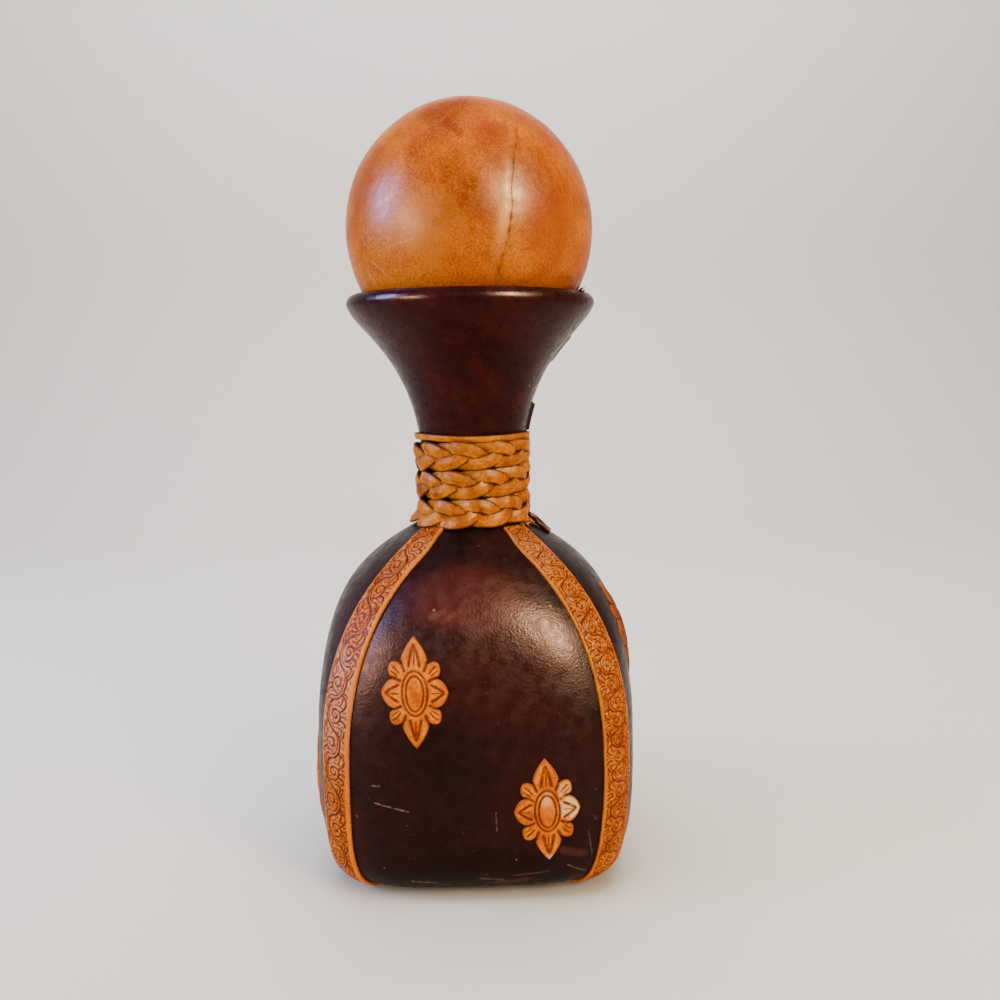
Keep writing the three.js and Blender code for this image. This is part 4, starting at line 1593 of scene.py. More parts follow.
@dataclass(frozen=True)
class Medallions:
    """The cut and stamped leather medallions, an upper and a lower one on each face."""

    finish: Leather = MEDALLION_TAN
    seat: float = 1.88
    leather: float = 1.0
    boss: float = 0.45
    groove: float = 0.4
    rounding: float = 0.5
    oval: tuple[float, float] = (4.3, 7.5)
    inner_oval: tuple[float, float] = (2.95, 5.9)
    reach: tuple[float, float] = (11.6, 19.2)
    pillow: float = 0.25
    tip_drop: float = 0.3
    ring_crowding: float = 1.15
    upper: tuple[float, float] = (-21.0, 75.0)
    lower: tuple[float, float] = (24.3, 32.3)
    upper_tilt: float = math.radians(0.8)
    lower_tilt: float = math.radians(2.5)
    right_shift: float = 4.0
    right_rise: float = 11.0
    outline_points: int = 320
    rings: int = 46

    def build(self) -> None:
        """Make the medallions and dress them."""
        material = self.finish.material()
        flat, lift, marks = self.stamped(self.outline())
        heights = np.array([self.seat + self.leather + self.boss, self.seat])
        for face in Face:
            shift, rise = (self.right_shift, self.right_rise) if face is Face.RIGHT else (0.0, 0.0)
            upper = (self.upper[0] + shift, self.upper[1] + rise)
            places = (("upper", upper, self.upper_tilt), ("lower", self.lower, self.lower_tilt))
            for label, place, tilt in places:
                rings = self.on_face(flat, lift, place, tilt).reshape(self.rings + 2, -1, 3)
                middle = self.on_face(np.zeros((2, 2)), heights, place, tilt)
                node = f"{face.label}_{label}_medallion"
                piece = ring_skin(f"{node}_leather", middle[0], rings, middle[1], marks)
                fit(turned(piece, face, material), Body.BOTTLE, self.finish.slot, node)

    def outline(self) -> Array:
        """The cut edge: long leaves above and below, petals at the sides, four small lobes between.

        Returns:
            Evenly spaced points, counterclockwise from the right.
        """
        side, tip = self.reach
        quarter = np.concatenate([
            bezier([(side, 0.0), (10.4, 4.6), (6.8, 5.2)], 40),
            bezier([(6.8, 5.2), (9.3, 5.7), (8.9, 8.3)], 24)[1:],
            bezier([(8.9, 8.3), (8.5, 12.2), (4.2, 9.8)], 30)[1:],
            bezier([(4.2, 9.8), (4.5, 10.6), (4.5, 11.6)], 8)[1:],
            bezier([(4.5, 11.6), (3.4, 15.4), (0.0, tip)], 40)[1:]])
        upper = np.concatenate([quarter, quarter[-2::-1] * np.array([-1.0, 1.0])])
        whole = np.concatenate([upper, upper[-2:0:-1] * np.array([1.0, -1.0]), upper[:1]])
        length = lengths_along(whole)
        even = np.linspace(0.0, length[-1], self.outline_points, endpoint=False)
        return np.stack([np.interp(even, length, whole[:, k]) for k in (0, 1)], axis=1)

    def strokes(self) -> list[Stroke]:
        """The stamped lines.

        Returns:
            Lines across and up from the middle.
        """
        circle = spokes(np.linspace(0.0, FULL_TURN, 60))
        rings = [Stroke(circle * np.array(oval), 0.45) for oval in (self.oval, self.inner_oval)]
        quarter = [
            arc([(0.1, 16.0), (1.3, 13.0), (1.8, 9.2)], 0.6),
            arc([(9.8, 0.1), (7.8, 1.8), (5.8, 2.7)], 0.6),
            arc([(4.6, 10.4), (3.9, 9.0), (3.4, 7.6)], 0.62),
            arc([(7.2, 5.2), (5.9, 5.0), (4.9, 4.2)], 0.62),
            arc([(7.4, 9.0), (6.2, 8.4), (5.1, 6.7)], 0.34),
            arc([(7.8, 7.4), (6.9, 6.7), (5.8, 6.0)], 0.28),
        ]
        spines = [
            arc([(0.0, 14.4), (0.1, 11.8), (0.0, 9.4)], 0.24),
            arc([(8.8, 0.0), (7.4, 0.05), (5.8, 0.0)], 0.24),
        ]
        fours = [s.mirrored(x, y) for s in quarter for x in (-1.0, 1.0) for y in (-1.0, 1.0)]
        return [*rings, *fours, *[s.mirrored(x, x) for s in spines for x in (-1.0, 1.0)]]

    def stamped(self, edge: Array) -> tuple[Array, Array, Marks]:
        """One medallion while it is flat.

        Args:
            edge: Its outline.

        Returns:
            Flat places from the middle out and back under it, their distances from the glass,
            and the marks.
        """
        shares = 1.0 - (1.0 - np.linspace(0.0, 1.0, self.rings + 1)[1:]) ** self.ring_crowding
        flat = (shares[:, None, None] * edge[None]).reshape(-1, 2)
        inward = gap_to(np.concatenate([edge, edge[:1]]), flat)
        depth = tooled(flat, self.strokes())
        ring, reach = (np.hypot(*(flat / np.array(size)).T) for size in (self.oval, self.reach))
        dome = self.boss * (1.0 - smooth(ring, 0.8, 1.08)) * (0.75 + 0.25 * smooth(ring, 0.9, 0.5))
        pillow = self.pillow * (smooth(inward, 0.0, 2.4) - 1.0) - self.tip_drop * smooth(reach, 0.55, 1.0)
        face = self.seat + self.leather + dome + pillow
        face = face - self.groove * depth - round_over(inward, self.rounding)
        under = np.concatenate([edge, edge * 0.5])
        rest = np.zeros(len(under) + 2)
        marks = {"tooling": np.concatenate([depth, rest]),
                 "rim": np.concatenate([1.0 - smooth(inward, 0.1, 0.9), rest])}
        lift = np.concatenate([face, np.full(len(under), self.seat)])
        return np.concatenate([flat, under]), lift, marks

    @staticmethod
    def on_face(flat: Array, lift: Array, place: tuple[float, float], tilt: float) -> Array:
        """Bend flat places on to the front face.

        Args:
            flat: Places across and up from the medallion's middle.
            lift: Distances from the glass.
            place: The middle, across the face and above the glass base.
            tilt: How far the medallion is turned, counterclockwise.

        Returns:
            Places in millimetres, shape (n, 3).
        """
        c, s = math.cos(tilt), math.sin(tilt)
        x, y = flat[:, 0] * c - flat[:, 1] * s, flat[:, 0] * s + flat[:, 1] * c
        station = FORM.station_of(place[1]) + y
        across = place[0] + x
        half, height = FORM.at(station)
        power = FORM.exponent(height)
        depth = (half ** power - np.abs(across) ** power) ** (1.0 / power)
        return FORM.lifted(station, -QUARTER + np.arctan2(across, depth), lift)


@dataclass(frozen=True)
class NeckSleeve:
    """The sleeve on the trumpet mouth, turned over the lip, with its worn seam on the right side.

    Each curl of the seam has the height of its middle above the table, half its length and its lift.
    """

    finish: Leather = NECK_OXBLOOD
    glue: float = 0.3
    butt_gap: float = 0.5
    foot_above_panels: float = 0.5
    mouth_hem: float = 9.0
    unevenness: float = 0.1
    wave: float = 24.0
    rounding: float = 0.55
    seam_crowding: float = 0.35
    curl_reach: float = 3.0
    far_side_curl: float = 0.25
    curls: tuple[tuple[float, ...], ...] = ((172.4, 5.0, 1.6), (199.2, 4.6, 0.7), (216.6, 1.2, 0.5))
    rows: int = 232
    columns: int = 240
    coarse: int = 4

    def build(self, panel_top: float) -> None:
        """Make the sleeve and dress it.

        Args:
            panel_top: Where the panels end under the plait.
        """
        foot, hem = panel_top + self.foot_above_panels, FORM.ends[Curve.LIP] + self.mouth_hem
        station = np.linspace(foot, hem, self.rows + 1)[:, None]
        half, height = FORM.at(station)
        edge = self.butt_gap / 2.0 / half
        share = np.linspace(-1.0, 1.0, self.columns + 1)
        turn = math.pi * (1.0 + share * (1.0 + self.seam_crowding * (1.0 - share ** 2)))
        turn = edge + (turn[None, :] - turn.min()) / (turn.max() - turn.min()) * 2.0 * (math.pi - edge)
        from_seam = np.minimum(turn - edge, FULL_TURN - edge - turn) * half
        from_hem = station[-1] - station
        flat = FORM.lifted(station, turn, FORM.skin)
        below_lip = smooth(FORM.ends[Curve.FLARE] - station, 0.0, 8.0)
        wave = self.unevenness * sway(flat, self.wave, 11) * below_lip
        curl = self.curl(height, from_seam, turn)
        lift = FORM.skin + wave + curl - round_over(np.minimum(from_seam, from_hem), self.rounding)
        face = FORM.lifted(station, turn, lift)
        flesh = FORM.lifted(station, turn, self.glue + curl)[::self.coarse, ::self.coarse]
        worn = np.maximum(1.0 - smooth(from_seam, 0.0, 1.4), 1.0 - smooth(from_hem, 0.0, 1.2))
        piece = leather_sheet("neck_sleeve_leather", face, flesh, {"rim": worn})
        dress(piece, self.finish, Body.BOTTLE, "neck_sleeve")

    def curl(self, height: Array, from_seam: Array, turn: Array) -> Array:
        """How far the seam's front edge has come away and curled up.

        Args:
            height: Heights above the glass base, one for each row.
            from_seam: Distances from the seam.
            turn: Angles from the seam.

        Returns:
            Extra lift for each place.
        """
        total = np.zeros_like(from_seam)
        near = 1.0 - smooth(from_seam, 0.0, self.curl_reach)
        for middle, half, lift in self.curls:
            torn = 1.0 - smooth(np.abs(height + FORM.bottom - middle), half, half + 1.0)
            total += lift * torn * near
        return np.where(turn > math.pi, total, self.far_side_curl * total)


@dataclass(frozen=True)
class TornScrap:
    """A torn tab of the right panel's leather that stands off beside the foot of the plait."""

    finish: Leather = NECK_OXBLOOD
    middle_angle: float = math.radians(-6.0)
    width: float = 5.2
    heights: tuple[float, float] = (120.2, 125.6)
    stand_off: float = 1.6
    leather: float = 1.5
    rounding: float = 0.4
    sunk: float = 0.1
    rows: int = 32
    columns: int = 32
    coarse: int = 4

    def build(self) -> None:
        """Make the scrap and dress it."""
        up = np.linspace(0.0, 1.0, self.rows + 1)[:, None]
        across = np.linspace(-0.5, 0.5, self.columns + 1)[None, :]
        foot, head = (FORM.station_of(height) for height in self.heights)
        ragged = 1.0 + 0.14 * np.sin(across * 15.0 + 0.8) + 0.09 * np.sin(across * 37.0)
        station = foot + (head - foot) * up * ragged
        narrowing = 1.0 - 0.4 * up ** 2 + 0.07 * np.sin(up * 13.0)
        angle = self.middle_angle + across * self.width * narrowing / FORM.at(station)[0]
        lean = self.stand_off * up ** 1.3 * (1.0 + 0.25 * across) + 0.25 * np.sin(across * 9.0) * up
        rim = np.minimum((0.5 - np.abs(across)) * self.width, np.minimum(up, 1.0 - up) * (head - foot))
        face = FORM.lifted(station, angle, FORM.skin + self.leather + lean - round_over(rim, self.rounding))
        flesh = FORM.lifted(station, angle, FORM.skin - self.sunk + lean)[::self.coarse, ::self.coarse]
        torn = {"rim": 1.0 - smooth(rim, 0.0, 1.2)}
        dress(leather_sheet("right_panel_torn_scrap", face, flesh, torn), self.finish, Body.BOTTLE)


@dataclass(frozen=True)
class FrayedTuft:
    """Loose fibres of the lip's leather that stand out beside the ball on the right."""

    finish: Leather = FRAYED_FIBRE
    root: Place = (38.4, -20.0, 216.9)
    spread: float = 1.0
    fibres: int = 26
    headings: tuple[Place, Place] = ((0.1, -0.6, 0.3), (0.9, 0.1, 1.0))
    bends: tuple[Place, Place] = ((0.1, -0.5, -0.6), (0.8, 0.3, 0.2))
    lengths: tuple[float, float] = (2.4, 5.4)
    width: float = 0.62
    thickness: float = 0.45
    rounded_share: float = 1.0 / 3.0
    tip: float = 0.3
    steps: int = 12
    seed: int = 8

    def build(self) -> None:
        """Make the fibres and dress them."""
        draw = np.random.default_rng(self.seed)
        paths = [self.fibre(draw) for _ in range(self.fibres)]
        piece = laced("neck_sleeve_frayed_tuft", paths, {
            "Lace Width": self.width, "Lace Thickness": self.thickness,
            "Edge Rounding": self.thickness * self.rounded_share}, self.finish)
        fit(piece, Body.BOTTLE, self.finish.slot)

    def fibre(self, draw: np.random.Generator) -> Path:
        """The path of one fibre.

        Args:
            draw: Gives its place, heading, bend and length.

        Returns:
            Places in millimetres, facing directions, and the squeeze of its width.
        """
        share = np.linspace(0.0, 1.0, self.steps)[:, None]
        start = np.array(self.root) + np.array([0.0, draw.uniform(-self.spread, self.spread), 0.0])
        heading = unit(draw.uniform(*self.headings))
        bend = draw.uniform(*self.bends)
        path = heading * share + bend * share ** 2 / 2.0
        places = start + draw.uniform(*self.lengths) * path
        facing = np.cross(np.gradient(places, axis=0), np.array([0.0, 1.0, 0.0]))
        return places, unit(facing), 1.0 - (1.0 - self.tip) * share[:, 0]


@dataclass(frozen=True)
class NeckPlait:
    """The plait wound round the neck: three flat laces that pass over and under each other."""

    finish: Leather = LACE_TAN
    seat_radius: float = 22.4
    height: float = 35.9
    width: float = 10.4
    turn_gap: float = 0.55
    middle_rise: float = 19.7
    least_tail: float = 2.0
    tail: float = 2.4
    lag: float = 25.0 / 360.0
    end_turn: float = 2.1
    step_over: float = 43.0 / 360.0
    tuck_turn: float = 1.42
    lone_squeeze: float = 0.46
    lone_drop: float = 0.4
    core_radius: float = 21.05
    row_bulge: float = 0.9
    lace_width: float = 5.5
    lace_thickness: float = 1.0
    lace_crown: float = 0.5
    rounded_share: float = 0.42
    least_squeeze: float = 0.25
    tuck_run: float = 0.12
    over_snap: float = 1.7
    aside_snap: float = 1.3
    sway_across: float = 3.05
    sway_out: float = 1.2
    repeat: float = 41.0
    glue: float = 0.25
    steps_per_turn: int = 150

    def build(self) -> None:
        """Make the three laces and dress them."""
        ends = (self.end_turn, self.tuck_turn, self.tuck_turn)
        paths = [self.lace(k / len(ends), last) for k, last in enumerate(ends)]
        piece = laced("neck_plait_laces", paths, {
            "Lace Width": self.lace_width, "Lace Thickness": self.lace_thickness,
            "Edge Rounding": self.lace_thickness * self.rounded_share, "Crown": self.lace_crown}, self.finish)
        fit(piece, Body.BOTTLE, self.finish.slot, "neck_braid")

    def bottom(self) -> float:
        """Height above the glass base at which the shoulder's leather has narrowed to the seat radius."""
        heights = np.linspace(FORM.shoulder_top_height - 15.0, FORM.shoulder_top_height + 7.0, 2000)
        return float(heights[FORM.neck_reach(heights) > self.seat_radius][-1])

    def core(self, height: Array, off_middle: Array) -> Array:
        """Radius of the plait's middle layer at heights, and at half rows from the row's middle."""
        lowest = FORM.neck_reach(height) + self.glue + self.lace_thickness / 2.0 + 0.4 * self.sway_out
        return np.maximum(self.core_radius - self.row_bulge * np.minimum(off_middle ** 2, 1.0), lowest)

    def lace(self, phase: float, last: float) -> Path:
        """The path of one lace.

        Args:
            phase: Its share of the plait's repeat.
            last: The turn at which it ends.

        Returns:
            Places in millimetres, facing directions, and the squeeze of its width.
        """
        bottom = self.bottom()
        top = bottom + self.height
        first = (self.least_tail - self.width / 2.0 - self.middle_rise) / (self.width + self.turn_gap)
        turn = np.linspace(first, last, int((last - first) * self.steps_per_turn))
        angle = FULL_TURN * turn
        low, high = self.row(turn, bottom)
        alone = smooth(turn, self.tuck_turn - self.tuck_run, self.tuck_turn)
        lone = alone if last > self.tuck_turn else 0.0
        squeeze = np.clip((high - low) / self.width, self.least_squeeze, 1.0)
        squeeze += (self.lone_squeeze - squeeze) * lone
        half = self.lace_width / 2.0 * squeeze
        swing = FULL_TURN * (turn * FULL_TURN * self.core_radius / self.repeat + phase)
        over = -np.tanh(self.over_snap * np.sin(2.0 * swing)) / math.tanh(self.over_snap)
        aside = np.tanh(self.aside_snap * np.sin(swing)) / math.tanh(self.aside_snap)
        row, row_half = (low + high) / 2.0, np.maximum(high - low, self.tail) / 2.0
        plaited = row + self.sway_across * squeeze * aside
        level = top - self.lone_drop * (1.0 + 0.6 * np.sin(3.0 * angle)) - half
        centre = plaited + (level - plaited) * lone
        edges = (centre - half, centre + half)
        lower, upper = (self.core(edge, (edge - row) / row_half) for edge in edges)
        radius = (lower + upper) / 2.0 + self.sway_out * over * (1.0 - 0.7 * alone)
        places = around_axis(radius, angle, FORM.bottom + centre)
        facing = around_axis(1.0, angle, (lower - upper) / (2.0 * half))
        along = unit(np.gradient(places, axis=0))
        facing -= along * np.einsum("ij,ij->i", facing, along)[:, None]
        return places, unit(facing), squeeze

    def row(self, turn: Array, bottom: float) -> tuple[Array, Array]:
        """The room that the plait has along its winding.

        Args:
            turn: Turns round the neck, from the front of the middle row.
            bottom: Height of the lowest row's foot above the glass base.

        Returns:
            Heights of the row's lower and upper edges.
        """
        top, half = bottom + self.height, self.width / 2.0
        rise = (self.width + self.turn_gap) * (turn - self.lag * np.cos(FULL_TURN * turn))
        middle = bottom + self.middle_rise + rise
        last_row = self.end_turn - 1.0
        clear = smooth(turn, last_row, last_row + self.step_over)
        ceiling = top - (1.0 - clear) * (self.tail + self.turn_gap)
        low = np.minimum(np.maximum(middle - half, bottom), ceiling - self.tail)
        return low, np.minimum(middle + half, ceiling)


@dataclass(frozen=True)
class BallStopper:
    """The ball in two leather cups with an off-centre leaning seam, and the cork below it."""

    leather: Leather = BALL_TAN
    cork: Cork = Cork()
    wood: TurnedWood = TurnedWood()
    centre: float = 242.62
    radius: float = 46.95
    cup_leather: float = 1.6
    stretch: float = 1.035
    seam_offset: float = 14.0
    seam_lean: float = math.radians(5.5)
    seam_gap: float = 0.03
    seam_wander: float = 0.3
    seam_bend: float = 5.5
    ridge: float = 0.14
    pucker: float = 0.05
    unevenness: float = 0.1
    edge_rounding: float = 0.1
    even_on_lip: tuple[float, float] = (-22.0, -14.0)
    row_step: float = 1.1
    seam_rows: tuple[float, ...] = (
        5.0, 4.4, 3.8, 3.2, 2.7, 2.2, 1.8, 1.4, 1.1, 0.8, 0.55, 0.35, 0.2, 0.08, 0.0)
    inner_rows: int = 28
    cork_top: float = 199.19
    cork_tip: float = 157.96
    cork_top_radius: float = 17.12
    cork_tip_radius: float = 14.8
    cork_grip: float = 18.0
    dowel_hole: float = 4.3
    dowel_depth: float = 24.0
    hole_clearance: float = 0.3
    hole_sides: int = 96
    tip_rounding: float = 1.2
    top_chamfer: float = 0.4
    pit_depth: float = 0.4
    cork_sides: int = 128
    around: int = 240

    def build(self) -> None:
        """Make the cups and the cork, and dress all of the stopper."""
        material = self.leather.material()
        seam = math.acos(self.seam_offset / self.radius)
        half_gap = self.seam_gap / 2.0 / self.radius
        for name, pole, edge in (("right", 0.0, seam - half_gap), ("left", math.pi, seam + half_gap)):
            cup = self.cup(f"stopper_{name}_cup_leather", pole, edge)
            cup.data.materials.append(material)
            fit(cup, Body.STOPPER, self.leather.slot, f"stopper_{name}_cup")
        dress(self.cork_plug(), self.cork, Body.STOPPER, "stopper_cork")
        wood = self.wood.material()
        for node in ("stopper_core", "stopper_dowel"):
            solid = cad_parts[node]
            solid.data.materials.clear()
            solid.data.materials.append(wood)
            LOG.info("%s keeps its solid", node)

    def cup(self, name: str, pole: float, edge: float) -> Piece:
        """Make one leather cup with a hole for the cork.

        Args:
            name: The piece's name.
            pole: Angle of its pole from the seam's axis.
            edge: Angle of its edge.

        Returns:
            The piece.
        """
        run = abs(edge - pole) * self.radius
        even = np.linspace(0.0, run - self.seam_rows[0] - 0.6, int(run / self.row_step))[1:]
        rows = np.concatenate([even, run - np.array(self.seam_rows)])[:, None]
        side = math.copysign(1.0, edge - pole)
        turns = full_turn(self.around)
        wander = self.seam_wander * (np.sin(turns * 9.0) + 0.6 * np.sin(turns * 23.0 + 1.0)) / self.radius
        wander += self.seam_bend * smooth(-np.cos(turns), 0.0, 0.85) / self.radius
        outer_angle = pole + side * rows / self.radius + wander * (rows / run) ** 4
        to_seam = run - rows
        places = self.ball(outer_angle, turns, self.radius)
        on_left = 1.0 if side < 0.0 else 0.0
        raised = on_left * self.ridge * np.exp(-((to_seam - 2.2) / 1.6) ** 2)
        pucker = self.pucker * np.sin(turns * 61.0) * np.exp(-to_seam / 1.8)
        clear = smooth(places[..., 2] - self.centre, *self.even_on_lip)
        lift = clear * (raised + pucker + self.unevenness * sway(places, 22.0, 21))
        outer = self.ball(outer_angle, turns, self.radius + lift - round_over(to_seam, self.edge_rounding))
        inside = self.radius - self.cup_leather
        inner_angle = pole + side * np.linspace(rows[-1], 3.0, self.inner_rows) / self.radius
        inner_angle = inner_angle + wander * np.linspace(1.0, 0.0, self.inner_rows)[:, None]
        inner = self.ball(inner_angle, turns, inside)
        poles = self.ball(pole, 0.0, np.array([self.radius, inside]))
        plain = np.zeros(self.inner_rows * self.around + len(poles))
        marks = self.seam_marks(places, to_seam, on_left)
        marks = {mark: np.concatenate([values.ravel(), plain]) for mark, values in marks.items()}
        return self.drilled(ring_skin(name, poles[0], np.concatenate([outer, inner]), poles[1], marks))

    def seam_marks(self, places: Array, to_seam: Array, on_left: float) -> Marks:
        """The wear along the seam on the outside of a cup.

        Args:
            places: Places on the cup.
            to_seam: Distances of its rows from the seam.
            on_left: 1 for the left cup, whose edge is rubbed pale, and 0 for the right one.

        Returns:
            The pale ridge and the dark line, for each place.
        """
        above = places[..., 2] - self.centre
        patchy = smooth(sway(places, 9.0, 26), -0.9, 0.7)
        worn = smooth(above, -18.0, -6.0) * (1.0 - smooth(above, 12.0, 22.0))
        ridge = np.exp(-((to_seam - 2.5) / 2.4) ** 2) * (0.08 + 0.8 * on_left)
        pale = ridge * (0.3 + 0.7 * patchy) * (0.15 + 0.85 * worn)
        pitted = smooth(sway(places, 3.0, 27), -0.6, 0.8)
        fading = 1.0 - smooth(above, 24.0, 33.0)
        line = (1.0 - smooth(to_seam, 0.15, 1.0)) * pitted * (0.12 + 0.68 * fading)
        shade = 0.4 * smooth(above, -2.0, -16.0) * patchy * np.exp(-(to_seam / 2.2) ** 2)
        return {"rim": pale, "tooling": np.maximum(line, shade)}

    def ball(self, from_axis: Array, turn: Array, radius: Array) -> Array:
        """Places on the ball.

        Args:
            from_axis: Angles from the seam's axis.
            turn: Angles about that axis.
            radius: Radii before the ball's stretch.

        Returns:
            Places in millimetres, shape (..., 3).
        """
        c, s = math.cos(self.seam_lean), math.sin(self.seam_lean)
        axis, up, side = np.array([c, 0.0, -s]), np.array([s, 0.0, c]), np.array([0.0, 1.0, 0.0])
        from_axis, turn, radius = np.broadcast_arrays(from_axis, turn, radius)
        around = up * np.cos(turn)[..., None] + side * np.sin(turn)[..., None]
        places = axis * np.cos(from_axis)[..., None] + around * np.sin(from_axis)[..., None]
        places = places * radius[..., None] * np.array([1.0, 1.0, self.stretch])
        return places + on_axis(self.centre)

    def drilled(self, cup: Piece) -> Piece:
        """Cut the hole for the cork out of a cup.

        Args:
            cup: The closed cup.

        Returns:
            The same piece with the hole in it.
        """
        low, high = self.cork_tip, self.centre
        radius = self.cork_top_radius + self.hole_clearance
        rings = around_axis(radius, full_turn(self.hole_sides), np.array([[low], [high]]))
        tool = ring_skin("cork_hole", on_axis(low), rings, on_axis(high))
        modifier = cup.modifiers.new("cork_hole", "BOOLEAN")
        modifier.operation = "DIFFERENCE"
        modifier.solver = "EXACT"
        modifier.object = tool
        keep_result(cup, modifier)
        bpy.data.objects.remove(tool)
        return cup

    def cork_plug(self) -> Piece:
        """Make the tapered cork with the blind hole for the dowel.

        Returns:
            The piece.
        """
        tip, top, floor = self.cork_tip, self.cork_top, self.cork_top - self.dowel_depth
        narrow, wide, r = self.cork_tip_radius, self.cork_top_radius, self.tip_rounding
        face = [(radius, tip) for radius in (3.0, 6.0, 9.0, 12.0)]
        bend = np.linspace(0.0, QUARTER, 6)
        rounded = [(narrow - r * (1.0 - math.sin(b)), tip + r * (1.0 - math.cos(b))) for b in bend]
        grip, shoulder = tip + self.cork_grip, top - self.top_chamfer
        taper = np.linspace((narrow, tip + r), (wide, grip), 25)[1:]
        shank = np.linspace((wide, grip), (wide, shoulder), 31)[1:]
        rim = [(wide - self.top_chamfer, top), (11.0, top), (self.dowel_hole, top)]
        profile = np.array([*face, *rounded, *taper, *shank, *rim, (self.dowel_hole, floor)])
        radius, height = profile.T[:, :, None]
        places = around_axis(radius, full_turn(self.cork_sides), height)
        outside = (radius > 12.5) & (height < top - 1.0)
        pitted = np.clip(sway(places, 4.0, 31) * sway(places, 2.2, 32) - 0.35, 0.0, 0.6)
        depth = np.where(outside, self.pit_depth * pitted, 0.0)
        places[..., :2] *= (1.0 - depth / np.maximum(radius, 1.0))[..., None]
        return ring_skin("stopper_cork_plug", on_axis(tip), places, on_axis(floor))


# Studio


class Role(Enum):
    """What a lamp is hung for."""

    FULL = "lights and is mirrored in glossy surfaces"
    FILL = "lights without being mirrored"
    GLINT = "is only mirrored"


@dataclass(frozen=True)
class Lamp:
    """One soft area light."""

    name: str
    place: Place
    aim: Place
    size: tuple[float, float]
    power: float
    tone: Tone
    role: Role = Role.FULL

    def build(self) -> None:
        """Hang the light."""
        light = bpy.data.lights.new(self.name, "AREA")
        light.shape = "RECTANGLE"
        light.size, light.size_y = self.size
        light.energy = self.power
        light.color = linear(self.tone)[:3]
        lamp = in_scene(self.name, light)
        lamp.location = self.place
        lamp.visible_glossy = self.role is not Role.FILL
        lamp.visible_diffuse = self.role is not Role.GLINT
        lamp.rotation_euler = (Vector(self.aim) - Vector(self.place)).to_track_quat("-Z", "Y").to_euler()


LAMPS = (
    Lamp("window_left", (-0.85, -0.12, 0.48), (0, 0, 0.18), (0.28, 0.5), 8.0, (186, 206, 255)),
    Lamp("glint_left", (-0.85, -0.12, 0.53), (0, 0, 0.2), (0.2, 0.36), 84.0, (148, 162, 255), Role.GLINT),
    Lamp("glint_wall", (-0.62, -0.46, 0.32), (0, 0, 0.2), (0.16, 0.22), 30.0, (255, 240, 222), Role.GLINT),
    Lamp("wall_left", (-0.62, -0.46, 0.32), (0, 0, 0.2), (0.16, 0.22), 2.5, (255, 240, 222)),
    Lamp("lamp_right", (0.55, -0.64, 0.53), (0, 0, 0.12), (0.28, 0.42), 7.0, (255, 222, 178)),
    Lamp("glint_right", (0.49, -0.61, 0.6), (0, 0, 0.12), (0.18, 0.34), 130.0, (255, 252, 222), Role.GLINT),
    Lamp("ceiling", (0, -0.1, 1.25), (0, 0, 0.1), (0.9, 0.9), 18.0, (255, 246, 236), Role.FILL),
    Lamp("wall_wash", (0, 0.55, 1.2), (0, 1, 0.35), (1.6, 0.3), 14.0, (240, 244, 250), Role.FILL),
)


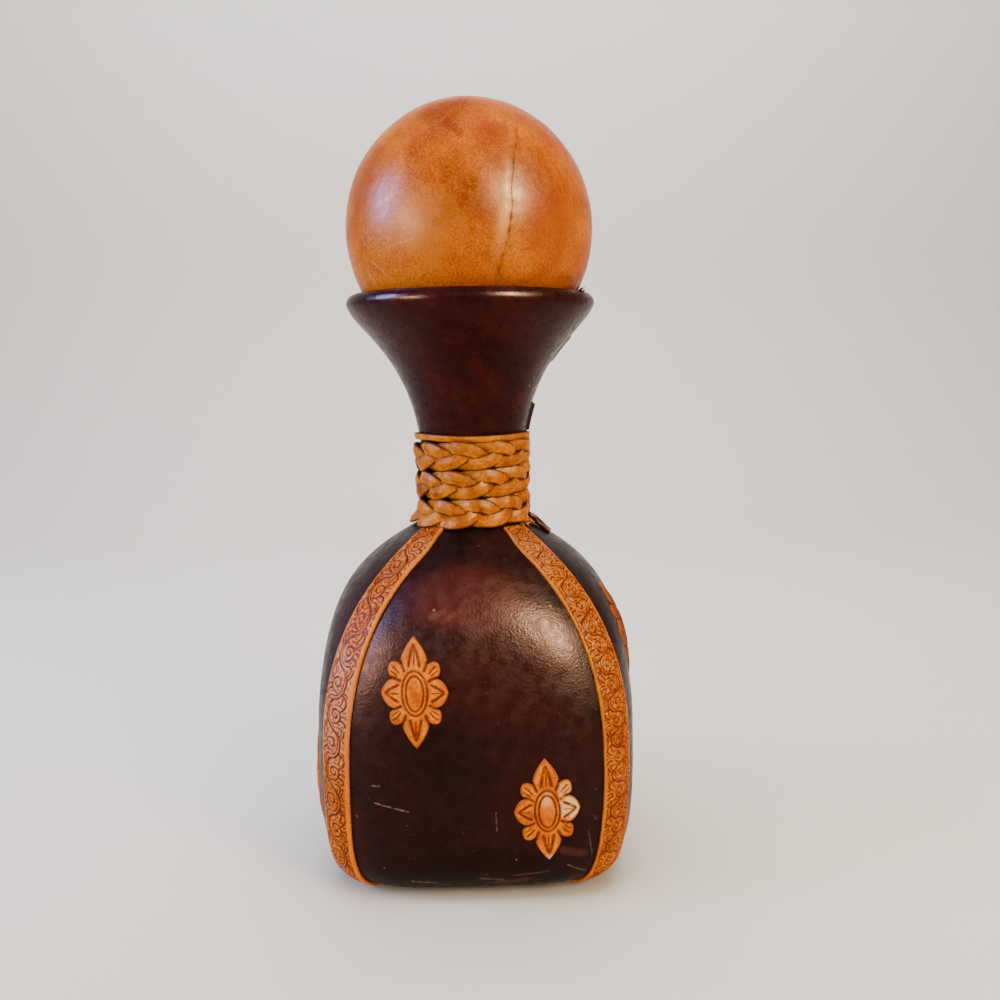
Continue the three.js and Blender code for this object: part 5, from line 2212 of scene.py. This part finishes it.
@dataclass(frozen=True)
class Studio:
    """Pale floor and backdrop, soft light, and the camera of the photograph."""

    floor_tone: Tone = (222, 218, 212)
    sky_tone: Tone = (214, 222, 232)
    sky_strength: float = 0.15
    room: tuple[float, float, float, float] = (-2.2, -2.2, 2.2, 1.05)
    cove: float = 0.35
    wall_height: float = 2.2
    corner_power: float = 0.2
    around: int = 160
    eye: Place = (0.0, -0.394, 0.192)
    pitch: float = math.radians(7.7)
    yaw: float = math.radians(1.55)
    roll: float = math.radians(0.62)
    lens: float = 36.0
    sensor: float = 36.0
    nearest: float = 0.01
    lamps: tuple[Lamp, ...] = LAMPS

    def build(self) -> None:
        """Set out floor, light and camera."""
        self.backdrop()
        for lamp in self.lamps:
            lamp.build()
        world = bpy.data.worlds.new("soft_room")
        world.use_nodes = True
        background = world.node_tree.nodes["Background"]
        background.inputs["Color"].default_value = linear(self.sky_tone)
        background.inputs["Strength"].default_value = self.sky_strength
        bpy.context.scene.world = world
        self.camera()

    def backdrop(self) -> None:
        """Lay the floor, which sweeps up into a wall on every side."""
        bend = np.linspace(0.0, QUARTER, 13)
        insets = np.append(self.cove * (1.0 - np.sin(bend)), 0.0)
        heights = np.append(self.cove * (1.0 - np.cos(bend)), self.wall_height)
        plan = spokes(full_turn(self.around))
        plan = np.sign(plan) * np.abs(plan) ** self.corner_power
        low, high = np.array(self.room[:2]), np.array(self.room[2:])
        around = (low + high) / 2.0 + plan * ((high - low) / 2.0 - insets[:, None, None])
        upright = np.broadcast_to(heights[:, None, None], (*around.shape[:2], 1))
        rings = np.concatenate([around, upright], axis=2)
        numbers = np.arange(rings.shape[0] * self.around).reshape(rings.shape[:2])
        following = np.roll(numbers, -1, axis=1)
        corners = [numbers[:-1], numbers[1:], following[1:], following[:-1]]
        faces = np.stack(corners, axis=-1).reshape(-1, 4).tolist()
        faces += [[numbers.size, a, b] for a, b in zip(numbers[0], following[0])]
        points = np.concatenate([rings.reshape(-1, 3), np.zeros((1, 3))])
        floor = new_piece("pale_floor", points / MM, faces)
        build = ShaderBuilder("pale_paper")
        floor.data.materials.append(build.finish({
            "Base Color": linear(self.floor_tone),
            "Specular IOR Level": 0.0,
            "Roughness": build.ease(build.noise(60.0), 0.3, 0.7, 0.75, 0.85),
        }))

    def camera(self) -> None:
        """Place the camera where the photograph was taken from."""
        reach, drop = math.cos(self.pitch), -math.sin(self.pitch)
        forward = Vector((math.sin(self.yaw) * reach, math.cos(self.yaw) * reach, drop))
        level = forward.cross(Vector((0.0, 0.0, 1.0))).normalized()
        upright = level.cross(forward)
        up = upright * math.cos(self.roll) + level * math.sin(self.roll)
        right = forward.cross(up)
        lens = bpy.data.cameras.new("photograph_camera")
        lens.lens = self.lens
        lens.sensor_width = self.sensor
        lens.clip_start = self.nearest
        camera = in_scene("photograph_camera", lens)
        turn = Matrix((right, up, -forward)).transposed().to_4x4()
        camera.matrix_world = Matrix.Translation(self.eye) @ turn
        bpy.context.scene.camera = camera


def main() -> None:
    """Build the studio and every sub-assembly in order."""
    logging.basicConfig(level=logging.INFO, format="%(name)s: %(message)s")
    Studio().build()
    GlassBottle().build()
    BasePad().build()
    panels = Panels()
    panels.build()
    CornerStrips().build()
    Medallions().build()
    NeckSleeve().build(panels.top)
    TornScrap().build()
    FrayedTuft().build()
    NeckPlait().build()
    BallStopper().build()


if __name__ == "__main__":
    main()
